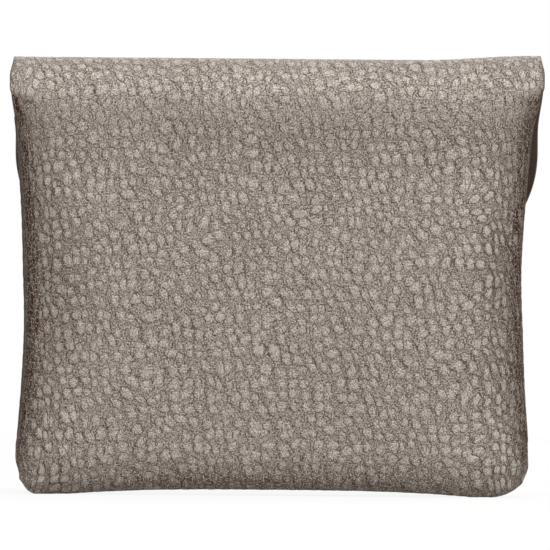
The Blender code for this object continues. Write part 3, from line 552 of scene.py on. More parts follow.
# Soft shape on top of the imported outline. Pairs are for the left and the right
softness = {
    "pillow": (0.012, 0.07, 0.0007, 0.0004),  # from what height, over how much, how far on back and front
    "pillowShape": (4, 0.8),  # how flat its middle is across, and up
    "hollow": (0.085, 0.007, 0.0004),  # under the top's bend: height, spread and depth
    "hollowShape": 6,
    "rise": 0.0005,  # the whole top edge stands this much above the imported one
    "lift": 0.0012,  # and the top corner on the right this much more
    "liftAcross": (0.034, 0.026),
    "liftUp": (0.07, 0.03),
    "spread": (0.0004, 0.045, 0.03),  # the back's right side is this much wider above its waist
    "spreadMore": (0.0008, 0.082, 0.01),  # and this much more where it opens into the ear
    "spreadReach": (0.5, 0.5),  # where across it begins, and over how much, in half widths
    "topTrim": (0.0008, 0.0975, 0.0045),  # the sides draw in where the hide bends over the top
    "sway": (0.0005, 0.007, 0.009, 0.036, 0.02),  # the lower half leans right: by, start and run, end and run
    "cornerTrim": (0.0013, 0.001),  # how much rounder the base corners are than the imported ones
    "cornerTrimHeight": (0.0049, 0.0041),
    "cornerTrimSpread": (0.003, 0.0023),
    "cornerTrimReach": (0.7, 0.3),  # where across it begins, and over how much, in half widths
    "toe": (0.0008, 0),  # how far a corner stands out at its foot
    "toeHeight": (0.0008, 0.0016),
    "foot": (0.0007, -0.0562, 0.0035, 0.007),  # the left foot is fuller: by, at, over what width and height
    "studHeight": 0.064,
    "studRoom": 0.013,
    "studFlat": 0.3,  # the front stays flat this near the stud, in rooms
}

# How much painted shade the hide has along its rolled sides, its base, under the top's bend and along the folds
# over the top, 0 to 1, and where its dark edge paint laps over the grain. Pairs are for the left and the right
shadeAndPaintLap = {
    "swollen": (0.048, 0.023),  # height and spread of the widest place
    "wide": (0.0044, 0.0046),
    "wider": (0.0044, 0.0018),
    "narrower": (0.0018, 0.002, 0.024),  # at the base: by, and over which heights
    "side": (0.88, 0.82),
    "falloff": (1.3, 1.8),
    "edge": (0.13, 0.1),
    "edgeRun": (0.002, 0.002),
    "cornerLoss": (0.65, 0.9),
    "cornerRun": (0.001, 0.01),
    "base": (0.55, 0.25),  # along the base, and how much less at its corners
    "baseAcross": (0.005, 0.03),
    "baseUp": (0.003, 0.0085),
    "hollow": (0.09, 0.07),  # under the top's bend, and how much more in the middle
    "hollowAcross": (0.015, 0.03),
    "hollowUp": (0.0815, 0.0065),
    "ridge": (0.4, 0.004),  # painted shade along the two folds over the top: how dark, and how far from the fold
    "foot": (0.35, 0.0004),  # painted shade along the lowest line of the base
    "lap": (0.9, 0.00035),  # where the edge paint laps over the grain
}


def smooth(value):
    value = np.clip(value, 0.0, 1.0)
    return value * value * (3 - 2 * value)


def ease(value, start, run):
    # 0 up to the start, then to 1 over the run
    return smooth((value - start) / run)


def hill(value, middle, spread):
    return np.exp(-((value - middle) / spread) ** 2)


def cornerLoss(corner, away):
    # What a rounded corner takes off the half width, at a distance from the end
    drop = np.clip(corner - away, 0, corner)
    return corner - np.sqrt(corner ** 2 - drop ** 2)


def walk(distance):
    # Place (y, z) on the hide's outer face, and its inward direction
    y = hide["frontOut"]
    z = hide["frontTop"]
    heading = -quarter
    for bend, length in hidePath:
        step = min(distance, length)
        if bend:
            centreY = y + bend * math.sin(heading)
            centreZ = z - bend * math.cos(heading)
            heading -= step / bend
            y = centreY - bend * math.sin(heading)
            z = centreZ + bend * math.cos(heading)
        else:
            y += step * math.cos(heading)
            z += step * math.sin(heading)
        distance -= step
        if distance <= 0:
            break
    return y, z, math.sin(heading), -math.cos(heading)


def bodyHalf(z):
    waist = hide["waistHeight"]
    end, height = ("shoulderHalf", "seamTop") if z > waist else ("footHalf", "footHeight")
    bow = (hide[end] - hide["waistHalf"]) * ((z - waist) / (hide[height] - waist)) ** 2
    return hide["waistHalf"] + bow - cornerLoss(hide["cornerRadius"], z)


def earShare(distance):
    return ease(distance, seamEnd, hide["earRun"])


def hideHalf(distance):
    z = walk(distance)[1]
    if distance < seamEnd:
        return bodyHalf(z)
    trim, start, run = softness["topTrim"]
    trim *= ease(z, start, run)
    if distance < frontCrease:
        return hide["shoulderHalf"] + (hide["earHalf"] - hide["shoulderHalf"]) * earShare(distance) - trim
    narrow = ease(distance, flapStart - hide["narrowEarly"], hide["flapNarrowing"])
    half = hide["earHalf"] - (hide["earHalf"] - hide["flapHalf"]) * narrow
    return half - cornerLoss(hide["flapCorner"], hideEnd - distance) - trim


def leanAt(z):
    # How far the body stands to the side under its flap
    sway, low, lowRun, high, highRun = softness["sway"]
    return hide["bodyShift"] + sway * ease(z, low, lowRun) * (1 - ease(z, high, highRun))


def hideShift(distance):
    z = walk(distance)[1]
    if distance < frontEnd:
        return leanAt(z) - hide["frontPeek"] * ease(z, hide["baseFold"], hide["rollHigh"])
    return leanAt(z) * (1 - earShare(distance))


def rollAt(distance):
    # Angle of the rolled side edge, and the straight return behind it
    z = walk(distance)[1]
    grown = ease(z, hide["rollLow"], hide["rollHigh"] - hide["rollLow"])
    angle = hide["baseRoll"] + (hide["fullRoll"] - hide["baseRoll"]) * grown
    back = hide["baseReturn"] + (hide["returnLength"] - hide["baseReturn"]) * grown
    if distance > backStart:
        opened = ease(distance, seamEnd - hide["unrollRun"], hide["unrollRun"])
        angle += (hide["earRoll"] - angle) * opened
        back += (hide["baseReturn"] - back) * opened
        angle *= 1 - ease(distance, backEnd, lengths[5])
    return angle, back


def flatHalf(distance):
    angle, back = rollAt(distance)
    return hideHalf(distance) - hide["rollRadius"] * math.sin(angle) - back * math.cos(angle)


archInner = flatHalf(backStart - lengths[3]) - hide["footLength"]


def archAt(x, z, shift):
    # The base arches up between its feet
    off = np.minimum(1.0, np.abs(x - shift) / archInner)
    return hide["baseRise"] * (1 - off ** 3) * (1 - ease(z, hide["baseFold"], hide["riseFade"]))


def evenSteps(start, end, pace):
    return np.linspace(start, end, max(2, int(round((end - start) / pace)) + 1))


def swell(x, y, z, inY, half):
    # How far the hide stands out from its packed face: a gentle pillow, less a hollow under the top's bend.
    # Inwards is +Y on the back and -Y on the front
    share = np.clip(np.abs(x) / half, 0, 1)
    low, run, onBack, onFront = softness["pillow"]
    acrossPower, upPower = softness["pillowShape"]
    pillow = (1 - share ** acrossPower) * np.sin(math.pi * np.clip((z - low) / run, 0, 1)) ** upPower
    if inY > 0.5:
        height, spread, depth = softness["hollow"]
        return onBack * pillow - depth * hill(z, height, spread) * (1 - share ** softness["hollowShape"])
    if inY < -0.5 and y < hide["frontOut"] + hide["thick"]:
        away = np.sqrt(x ** 2 + (z - softness["studHeight"]) ** 2) / softness["studRoom"]
        return onFront * pillow * smooth(away - softness["studFlat"])
    return np.zeros_like(x)


def liftAt(x, z):
    # Rise of the top, most at its corner on the right
    lift = softness["lift"] * ease(x, *softness["liftAcross"])
    return (softness["rise"] + lift) * ease(z, *softness["liftUp"])


def spreadAt(z):
    return sum(by * ease(z, start, run) for by, start, run in (softness["spread"], softness["spreadMore"]))


def trimAt(side, z):
    # What the base corners lose, less what they stand out at their foot
    pair = partial(np.where, side < 0)
    trim = pair(*softness["cornerTrim"])
    trim = trim * hill(z, pair(*softness["cornerTrimHeight"]), pair(*softness["cornerTrimSpread"]))
    return trim - pair(*softness["toe"]) * hill(z, *softness["toeHeight"])


def shadeAt(side, z, fromEdge):
    # Painted shade: darkest along the rolled sides, widest half way up on the left, and along the base, less at
    # its corners, with a band of it under the top's bend
    pair = partial(np.where, side < 0)
    fromEdge = np.clip(fromEdge, 0, None)
    narrower, low, run = shadeAndPaintLap["narrower"]
    wide = pair(*shadeAndPaintLap["wide"]) + pair(*shadeAndPaintLap["wider"]) * hill(z, *shadeAndPaintLap["swollen"])
    wide -= narrower * (1 - ease(z, low, run))
    sides = pair(*shadeAndPaintLap["side"]) * np.exp(-(fromEdge / wide) ** pair(*shadeAndPaintLap["falloff"]))
    sides += pair(*shadeAndPaintLap["edge"]) * (1 - ease(fromEdge, *shadeAndPaintLap["edgeRun"]))
    sides *= 1 - pair(*shadeAndPaintLap["cornerLoss"]) * (1 - ease(z, *shadeAndPaintLap["cornerRun"]))
    most, less = shadeAndPaintLap["base"]
    base = most - less * (1 - ease(fromEdge, *shadeAndPaintLap["baseAcross"]))
    base *= 1 - ease(z, *shadeAndPaintLap["baseUp"])
    least, more = shadeAndPaintLap["hollow"]
    hollow = (least + more * ease(fromEdge, *shadeAndPaintLap["hollowAcross"])) * hill(z, *shadeAndPaintLap["hollowUp"])
    return 1 - (1 - sides) * (1 - base) * (1 - hollow)


def rimAt(distance, z, fromCut):
    # Painted shade along the folds over the top and along the lowest line of the base, and the dark edge paint
    # where it laps over the grain
    fromFold = min(abs(distance - bridgeStart), abs(distance - bridgeEnd))
    (ridge, ridgeReach), (foot, footReach), (lap, lapReach) = map(shadeAndPaintLap.get, ("ridge", "foot", "lap"))
    ridge *= hill(fromFold, 0, ridgeReach)
    foot *= math.exp(-z / footReach)
    lap = lap * np.exp(-np.clip(fromCut, 0, None) / lapReach)
    return 1 - (1 - ridge) * (1 - foot) * (1 - lap)


def rolledSkin(distances, columns):
    # Places, outward directions and hide coordinates of the body's leather with its rolled sides.
    # The hide coordinates are mm across and along the hide, and how much painted shade and lapped edge paint it
    # has
    skin = places, outward, maps = np.zeros((3, len(distances), len(columns), 3))
    side = np.sign(columns)
    reach = np.abs(columns)
    radius = hide["rollRadius"]
    before, squeezeRun = hide["squeeze"]
    footDrop, footPlace, footWidth, footHeight = softness["foot"]
    for row, distance in enumerate(distances):
        y, z, inY, inZ = walk(distance)
        angle, back = rollAt(distance)
        half = flatHalf(distance)
        ear = earShare(distance)
        turn = angle * np.clip(reach - 1, 0, 1)
        run = back * np.clip(reach - 2, 0, None)
        across = half * np.minimum(1, reach) + radius * np.sin(turn) + run * math.cos(angle)
        depth = radius * (1 - np.cos(turn)) + run * math.sin(angle)
        shift = hideShift(distance)
        x = shift + side * across
        if distance > backStart:
            x = x + spreadAt(z) * (1 - ear) * ease(side * across / half, *softness["spreadReach"])
        arch = archAt(x, z + inZ * depth, shift)
        depth -= swell(side * across, y, z, inY, half) * np.clip(2 - reach, 0, 1)
        high = z + inZ * depth + arch + liftAt(x, z)
        trim = trimAt(side, high) * ease(across / half, *softness["cornerTrimReach"])
        places[row, :, 0] = x - side * trim * (1 - ear)
        places[row, :, 1] = y + inY * depth
        high -= footDrop * hill(x, footPlace, footWidth) * (1 - ease(high, 0, footHeight))
        places[row, :, 2] = high
        outward[row] = np.stack([side * np.sin(turn), -inY * np.cos(turn), -inZ * np.cos(turn)], axis=1)
        length = half * np.minimum(1, reach) + radius * turn + run
        # The grain is squeezed towards the rolled sides, so its pebbles stretch upwards there
        past = np.clip(length - half + before, 0, None)
        maps[row, :, 0] = 1000 * side * (length + 0.5 * past ** 2 / squeezeRun)
        maps[row, :, 1] = 1000 * distance
        # Painted shade along the sides, the base and under the top's bend, then along the folds over the top
        # and the base's lowest line
        shade = shadeAt(side, high, hideHalf(distance) - across) * (1 - ear)
        rim = rimAt(distance, z, np.minimum(length.max() - length, distance))
        maps[row, :, 2] = 1 - (1 - shade) * (1 - rim)
    return skin


def flatSkin(distances, columns, halfOf, inset=0.0):
    # The same for what has no rolled sides: the flap and its root, and the linings, which lie further in
    skin = places, outward, maps = np.zeros((3, len(distances), len(columns), 3))
    for row, distance in enumerate(distances):
        y, z, inY, inZ = walk(distance)
        half = halfOf(distance)
        x = hideShift(distance) + columns * half
        places[row, :, 0] = x
        places[row, :, 1] = y + inY * inset
        places[row, :, 2] = z + inZ * inset + liftAt(x, z)
        outward[row, :, 1:] = -inY, -inZ
        maps[row, :, 0] = 1000 * x
        maps[row, :, 1] = 1000 * distance
        # Painted shade along the folds over the top, and the edge paint's lap at the cut edges
        if not inset:
            maps[row, :, 2] = rimAt(distance, z, np.minimum(half * (1 - np.abs(columns)), hideEnd - distance))
    return skin


def columnsAcross(pace):
    # 0 in the middle, 1 where the roll begins, 2 where it ends, 3 at the cut edge
    steps = (int(hide["flatHalf"] / pace), hide["rollSteps"], hide["returnSteps"])
    half = np.concatenate([[0], *(np.linspace(k, k + 1, count + 1)[1:] for k, count in enumerate(steps))])
    return np.concatenate([-half[:0:-1], half])


def flapRows(start, pace):
    below = hideEnd - hide["flapCorner"]
    corner = hide["flapCorner"] * np.sin(np.linspace(0, quarter, hide["cornerRows"]))
    return np.concatenate([evenSteps(start, below, pace)[:-1], below + corner])


# Meshes

def meshPiece(name, points, faces, materials, kinds=None, maps=None, outward=None):
    mesh = bpy.data.meshes.new(name)
    mesh.from_pydata([tuple(p) for p in points], [], [tuple(int(i) for i in f) for f in faces])
    for material in materials:
        mesh.materials.append(material)
    if kinds is not None:
        mesh.polygons.foreach_set("material_index", np.minimum(kinds, len(materials) - 1).astype(np.int32))
    for label, values in (("hideMap", maps), ("hideOut", outward)):
        if values is not None:
            layer = mesh.attributes.new(label, "FLOAT_VECTOR", "POINT")
            layer.data.foreach_set("vector", np.asarray(values, np.float32).ravel())
    mesh.shade_smooth()
    piece = bpy.data.objects.new(name, mesh)
    scene.collection.objects.link(piece)
    return piece


def quads(grid):
    return np.stack([grid[:-1, :-1], grid[:-1, 1:], grid[1:, 1:], grid[1:, :-1]], axis=-1).reshape(-1, 4)


def makeSheet(name, places, outward, maps, thick, materials, coarse=1, bead=0.0):
    # A sheet with a thickness and a rounded edge. The outer skin keeps every point, the inner one may be
    # coarser. Materials: skin, edge, inside
    rows, cols = places.shape[:2]
    grid = np.arange(rows * cols).reshape(rows, cols)
    keep = np.ix_(*(sorted({*range(0, size, coarse), size - 1}) for size in (rows, cols)))
    inside = (places - outward * thick)[keep]
    insideGrid = grid.size + np.arange(inside[..., 0].size).reshape(inside.shape[:2])
    loop = np.concatenate([grid[0, :], grid[1:, -1], grid[-1, -2::-1], grid[-2:0:-1, 0]])
    flatPlaces, flatOut, flatMaps = (values.reshape(-1, 3) for values in (places, outward, maps))
    rowOf, colOf = np.divmod(loop, cols)
    inner = grid[np.clip(rowOf, 1, rows - 2), np.clip(colOf, 1, cols - 2)]
    away = flatPlaces[loop] - flatPlaces[inner]
    away -= flatOut[loop] * np.sum(away * flatOut[loop], axis=1, keepdims=True)
    away /= np.maximum(np.linalg.norm(away, axis=1, keepdims=True), 1e-9)
    points = [flatPlaces, inside.reshape(-1, 3)]
    marks = [flatMaps, maps[keep].reshape(-1, 3)]
    faces = [quads(grid), quads(insideGrid)[:, ::-1]]
    kinds = [np.zeros(len(faces[0]), int), np.full(len(faces[1]), 2)]
    upper = loop
    used = grid.size + insideGrid.size
    rimSteps = 4
    for step in range(1, rimSteps + 1):
        turn = math.pi * step / rimSteps
        ring = flatPlaces[loop] - flatOut[loop] * thick * (1 - math.cos(turn)) / 2
        points.append(ring + away * bead * math.sin(turn))
        marks.append(flatMaps[loop])
        lower = used + np.arange(len(loop))
        faces.append(np.stack([upper, lower, np.roll(lower, -1), np.roll(upper, -1)], axis=1))
        kinds.append(np.ones(len(loop), int))
        upper = lower
        used += len(loop)
    faces = np.concatenate(faces)
    points = np.concatenate(points)
    first = points[faces[0]]
    if np.dot(np.cross(first[1] - first[0], first[3] - first[0]), flatOut[faces[0][0]]) < 0:
        faces = faces[:, ::-1]
    direction = np.zeros_like(points)
    direction[:grid.size] = flatOut
    return meshPiece(name, points, faces, materials, np.concatenate(kinds), np.concatenate(marks), direction)


def makePanel(name, x, y, z, side, thick, material, bead=0.0, weave=None):
    # A sheet inside the body, with x from the body's middle, that faces along Y. Its weave is laid out in mm
    # by x and z, unless other places are given
    x = x + hide["bodyShift"]
    places = np.stack(np.broadcast_arrays(x, y, z), axis=2)
    outward = np.zeros_like(places)
    outward[..., 1] = side
    across, up = weave or (1000 * x, 1000 * z)
    maps = np.stack(np.broadcast_arrays(across, up, np.zeros(places.shape[:2])), axis=2)
    return makeSheet(name, places, outward, maps, thick, [material], bead=bead)


def ringFaces(start, rings, size):
    # Sides and both ends of a solid made of rings of points, one after the other
    faces = []
    last = start + (rings - 1) * size
    for low in range(start, last, size):
        for k in range(size):
            after = (k + 1) % size
            faces.append((low + k, low + after, low + size + after, low + size + k))
    return faces + [tuple(start + k for k in reversed(range(size))), tuple(last + k for k in range(size))]


def turnOutward(piece, merge=0.0):
    # Makes all faces look outwards, after joining points that lie together
    tidy = bmesh.new()
    tidy.from_mesh(piece.data)
    if merge:
        bmesh.ops.remove_doubles(tidy, verts=tidy.verts, dist=merge)
    bmesh.ops.recalc_face_normals(tidy, faces=tidy.faces)
    tidy.to_mesh(piece.data)
    tidy.free()


def carry(piece, body, node):
    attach(piece, body)
    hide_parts(node)


# The hide in three pieces that meet in the middle of the base and of the flap's root

hideFinish = [hideLeather, edgePaint, fleshSide]


def pebbledSheet(name, skin):
    # Presses the pebbles into the sheet's mesh and keeps the result
    piece = makeSheet(name, *skin, hide["thick"], hideFinish, hide["coarse"], hide["edgeBead"])
    modifier = piece.modifiers.new("grain", "NODES")
    modifier.node_group = grainModifier
    ready = piece.evaluated_get(bpy.context.evaluated_depsgraph_get())
    pressed = bpy.data.meshes.new_from_object(ready)
    piece.modifiers.clear()
    piece.data = pressed
    return piece


def makeHide():
    pace = hide["pace"]
    columns = columnsAcross(pace)
    back = pebbledSheet("hideBack", rolledSkin(evenSteps(baseMiddle, bridgeMiddle, pace), columns))
    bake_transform(back)
    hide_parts("back_panel")
    front = pebbledSheet("hideFront", rolledSkin(evenSteps(0, baseMiddle, pace), columns))
    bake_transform(front)
    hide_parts("front_panel")
    shares = np.linspace(-1, 1, int(2 * hide["flapHalf"] / pace) + 1)
    flap = pebbledSheet("hideFlap", flatSkin(flapRows(bridgeMiddle, pace), shares, hideHalf))
    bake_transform(flap)
    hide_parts("bridge_leather", "flap_leather")


makeHide()
print("hide made")


# Linings: twill on the inner faces of the back, the flap and the front

linings = {
    "pace": 0.0022,
    "columns": 61,
    "frontHalf": 0.0537,
    "frontLow": 0.007,
    "frontHigh": 0.0866,
    "frontY": 0.0063,
}


def backLiningHalf(distance):
    return min(flatHalf(distance) - hide["fit"], hideHalf(distance) - hide["liningMargin"])


def flapLiningHalf(distance):
    return hideHalf(min(hideEnd, distance + hide["liningMargin"])) - hide["liningMargin"]


def makeLinings():
    shares = np.linspace(-1, 1, linings["columns"])
    inset = hide["thick"] + hide["fit"]
    cloth = (hide["lining"], [liningTwill])
    rows = evenSteps(backStart + hide["baseFold"], bridgeMiddle, linings["pace"] / 2)
    back = makeSheet("liningBack", *flatSkin(rows, shares, backLiningHalf, inset), *cloth)
    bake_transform(back)
    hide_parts("back_lining")
    rows = flapRows(bridgeMiddle, linings["pace"] / 2)
    rows = rows[rows < hideEnd - 2 * hide["liningMargin"]]
    rows = np.append(rows, hideEnd - hide["liningMargin"])
    flap = makeSheet("liningFlap", *flatSkin(rows, shares, flapLiningHalf, inset), *cloth)
    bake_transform(flap)
    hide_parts("bridge_lining", "flap_lining")
    z = evenSteps(linings["frontLow"], linings["frontHigh"], linings["pace"])[:, None]
    x = shares[None, :] * linings["frontHalf"] - hide["frontPeek"]
    front = makePanel("liningFront", x, linings["frontY"], z, -1, hide["lining"], liningTwill)
    carry(front, "front", "front_lining")


makeLinings()
print("linings made")


# Side bellows: the same leather, thinner, folded inwards

bellows = {
    "thick": 0.0007,
    "creaseHalf": 0.0465,
    "creaseWidth": 0.0018,
    "flange": 0.0026,
    "bottom": 0.003,
    "tuck": 0.0035,
    "top": 0.0842,
    "dip": (0.004, 3, 0.003),  # the top edge's sag at the inner crease, how late it comes, and its reach
    "pace": 0.0012,
    "grainStart": 5,  # mm, so that its pebbles aren't the back's
}


def roundedLine(stops, rounds=3):
    # Cuts the corners of a line of points, a quarter of the way along each stretch, several times over
    for _ in range(rounds):
        first = stops[:-1] * 0.75 + stops[1:] * 0.25
        second = stops[:-1] * 0.25 + stops[1:] * 0.75
        middle = np.stack([first, second], axis=1).reshape(-1, stops.shape[1])
        stops = np.concatenate([stops[:1], middle, stops[-1:]])
    return stops


def makeBellows(name, node, side):
    seam = hide["rollRadius"] + hide["fit"]
    rear = hide["backOut"] + seam
    fore = hide["frontOut"] - seam
    middle = (hide["backOut"] + hide["frontOut"]) / 2
    flange, crease, half = bellows["flange"], bellows["creaseHalf"], bellows["creaseWidth"] / 2
    dip, late, dipSpread = bellows["dip"]
    rows = []
    for z in evenSteps(bellows["bottom"], bellows["top"], bellows["pace"]):
        tuck = bellows["tuck"] * (1 - ease(z, bellows["bottom"], hide["rollHigh"]))
        wall = bodyHalf(z) - hide["thick"] - hide["fit"] - tuck
        foreWall = wall - side * hide["frontPeek"]
        x, y = roundedLine(np.array([
            (wall, rear),
            (wall, rear + flange),
            (crease, middle - half),
            (crease, middle + half),
            (foreWall, fore - flange),
            (foreWall, fore),
        ])).T
        share = (z - bellows["bottom"]) / (bellows["top"] - bellows["bottom"])
        sag = dip * share ** late * hill(y, middle, dipSpread)
        rows.append(np.stack([leanAt(z) + side * x, y, z - sag], axis=1))
    places = np.array(rows)
    outward = np.cross(np.gradient(places, axis=1), np.gradient(places, axis=0))
    outward /= np.linalg.norm(outward, axis=2, keepdims=True)
    if outward[0, 0, 0] * side < 0:
        outward = -outward
    run = np.cumsum(np.linalg.norm(np.diff(places, axis=1, prepend=places[:, :1]), axis=2), axis=1)
    maps = np.stack([1000 * run + bellows["grainStart"], 1000 * places[..., 2], np.zeros_like(run)], axis=2)
    piece = makeSheet(name, places, outward, maps, bellows["thick"], hideFinish)
    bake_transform(piece)
    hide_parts(node)


makeBellows("bellowsLeft", "gusset_left", -1)
makeBellows("bellowsRight", "gusset_right", 1)
print("bellows made")


# Stitches: each one a short piece of thread that rises out of its holes

stitch = {
    "pitch": 0.0026,
    "length": 0.0019,
    "radius": 0.00017,
    "rise": 0.0001,
    "blunt": 4,  # how blunt its ends are
    "endArea": 0.05,  # what is left of its section there
    "rings": 6,
    "sides": 8,
}


def sewAlong(name, line, outward, body):
    # Short rounded stitches along a line of points, with x from the body's middle, on a surface that faces
    # outward
    line = np.asarray(line, float) + (hide["bodyShift"], 0, 0)
    outward = np.asarray(outward, float)
    reach = np.concatenate([[0], np.cumsum(np.linalg.norm(np.diff(line, axis=0), axis=1))])
    count = int((reach[-1] - stitch["length"]) / stitch["pitch"])
    spare = (reach[-1] - count * stitch["pitch"] - stitch["length"]) / 2
    along = np.linspace(0, 1, stitch["rings"])
    turn = np.linspace(0, 2 * math.pi, stitch["sides"], endpoint=False)[:, None]
    hump = stitch["rise"] * np.sin(math.pi * along)[:, None]
    thick = stitch["radius"] * np.sqrt(np.clip(1 - (2 * along - 1) ** stitch["blunt"], stitch["endArea"], 1))
    points = []
    faces = []
    for number in range(count + 1):
        stops = spare + number * stitch["pitch"] + along * stitch["length"]
        middle = np.stack([np.interp(stops, reach, line[:, axis]) for axis in range(3)], axis=1)
        middle += outward * hump
        heading = middle[-1] - middle[0]
        heading /= np.linalg.norm(heading)
        ring = np.cos(turn) * np.cross(outward, heading) + np.sin(turn) * outward
        faces += ringFaces(len(points), stitch["rings"], stitch["sides"])
        for place, size in zip(middle, thick):
            points += list(place + ring * size)
    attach(meshPiece(name, points, faces, [thread]), body)


# Card slots: thin pocket leather, turned over at the top and sewn down at the sides and foot

slots = {
    "count": 3,
    "half": 0.0465,
    "height": 0.05,
    "step": 0.009,
    "firstBottom": 0.024,
    "rear": -0.0122,
    "spacing": 0.0013,
    "depth": 0.001,
    "wall": 0.0004,
    "bead": 0.0001,
    "sewn": 0.003,  # width over which the panel sinks to its seam
    "sunk": 0.0004,
    "dip": 0.0016,  # how far the top edge curves down in the middle
    "dipHalf": 0.034,
    "hem": 0.0028,
    "hemRise": 0.00012,
    "hemSlope": 0.0004,
    "hemSeam": 0.0006,  # from the hem's lower edge up to its stitches
    "seam": 0.0016,  # from the side edge to the stitches
    "seamSunk": 0.00032,
    "seamEnds": (0.001, 0.0035),
    "seamPoints": 60,
    "columns": 94,
    "crowding": 1.25,  # how the columns crowd towards the sides, where the panel bends
    "rows": (40, 13),  # below the hem's share of the height, and in it, where the panel bends again
    "hemShare": 0.1,
}


def slotTop(x, top):
    return top - slots["dip"] * (1 - ease(np.abs(x), 0, slots["dipHalf"]))


def makeSlot(number):
    bottom = slots["firstBottom"] - number * slots["step"]
    top = bottom + slots["height"]
    face = slots["rear"] + number * slots["spacing"] + slots["depth"]
    across = np.linspace(-1, 1, slots["columns"])
    across = np.sign(across) * (1 - (1 - np.abs(across)) ** slots["crowding"])
    low, high = slots["rows"]
    hemStart = 1 - slots["hemShare"]
    up = np.concatenate([np.linspace(0, hemStart, low), np.linspace(hemStart, 1, high + 1)[1:]])
    x = across[None, :] * slots["half"] * np.ones((len(up), 1))
    z = bottom + up[:, None] * (slotTop(x, top) - bottom)
    sunk = 1 - smooth(np.minimum(slots["half"] - np.abs(x), z - bottom) / slots["sewn"])
    hemmed = smooth((z - slotTop(x, top) + slots["hem"]) / slots["hemSlope"] + 0.5)
    y = face - slots["sunk"] * sunk - slots["hemRise"] * (1 - hemmed)
    name = "cardSlot" + str(number + 1)
    panel = makePanel(name, x, y, z, 1, slots["wall"], pocketSuede, slots["bead"])
    carry(panel, "body", "card_slot_" + str(number + 1))
    reach = slots["half"] - slots["seam"]
    seamX = np.linspace(-reach, reach, slots["seamPoints"])
    seamZ = slotTop(seamX, top) - slots["hem"] + slots["hemSeam"]
    sewAlong(name + "HemStitch", np.stack(np.broadcast_arrays(seamX, face, seamZ), axis=1), (0, 1, 0), "body")
    fromFoot, fromTop = slots["seamEnds"]
    for side, label in ((-1, "Left"), (1, "Right")):
        line = [(side * reach, face - slots["seamSunk"], z) for z in (bottom + fromFoot, top - fromTop)]
        sewAlong(name + label + "Stitch", line, (0, 1, 0), "body")


for slotNumber in range(slots["count"]):
    makeSlot(slotNumber)
print("card slots made")


# Coin pocket: two crowned walls, a folded edge between them, a zip along the top

coins = {
    "half": 0.041,
    "low": 0.00335,
    "floor": 0.00305,
    "top": 0.066,
    "corner": 0.006,
    "wall": 0.0008,
    "bead": 0.00015,
    "middle": -0.00115,
    "room": 0.0043,
    "crown": 0.0009,
    "crownTop": 0.06,
    "buckle": 0.0009,
    "edgeThick": 0.0006,
    "seam": 0.0018,  # from the edge to the stitches
    "seamTop": 0.006,
    "seamPace": 0.002,
    "rowSeams": (("Top", 0.0016), ("Tape", 0.0048)),  # stitched rows under the zip, from the top
    "crownShape": 2.5,  # how flat the crown's middle is
    "columns": 85,
    "rows": (12, 60),  # round the corners, and above them
    "seamTurn": 10,  # points round a corner of the edge's seam
    "fold": (50, 14, 60, 11),  # points down a side, round a corner, along the base, and across
}


def crownAt(x, z):
    up = np.clip((z - coins["low"]) / (coins["crownTop"] - coins["low"]), 0, 1)
    return coins["crown"] * np.sin(math.pi * up) * (1 - (np.abs(x) / coins["half"]) ** coins["crownShape"])


def coinWall(name, node, side):
    cornerRows, rows = coins["rows"]
    lower = coins["low"] + coins["corner"] * (1 - np.cos(np.linspace(0, quarter, cornerRows)))
    z = np.concatenate([lower, np.linspace(coins["low"] + coins["corner"], coins["top"], rows)[1:]])[:, None]
    across = np.linspace(-1, 1, coins["columns"])[None, :]
    x = (coins["half"] - cornerLoss(coins["corner"], z - coins["low"])) * across
    face = coins["middle"] + side * (coins["room"] / 2 + coins["wall"])
    y = face + side * crownAt(x, z)
    wall = makePanel(name, x, y, z, side, coins["wall"], pocketSuede, coins["bead"])
    carry(wall, "coin_pocket", node)
    seam = coins["seam"]
    reach = coins["half"] - seam
    for label, below in coins["rowSeams"]:
        line = [(end, face, coins["top"] - below) for end in (-reach, reach)]
        sewAlong(name + label + "Stitch", line, (0, side, 0), "coin_pocket")
    # Round the foot: down the right side, along and up the left
    radius = coins["corner"] - seam
    path = [(reach, coins["top"] - coins["seamTop"])]
    path += [(reach - radius * (1 - math.cos(b)), coins["low"] + seam + radius * (1 - math.sin(b)))
             for b in np.linspace(0, quarter, coins["seamTurn"])]
    path += [(-a, b) for a, b in reversed(path)]
    line = []
    for (a, b), (c, d) in zip(path[:-1], path[1:]):
        pieces = max(1, int(math.hypot(c - a, d - b) / coins["seamPace"]))
        line += [(a + (c - a) * k / pieces, b + (d - b) * k / pieces) for k in range(pieces)]
    x, z = np.array(line + path[-1:]).T
    line = np.stack([x, face + side * crownAt(x, z), z], axis=1)
    sewAlong(name + "EdgeStitch", line, (0, side, 0), "coin_pocket")


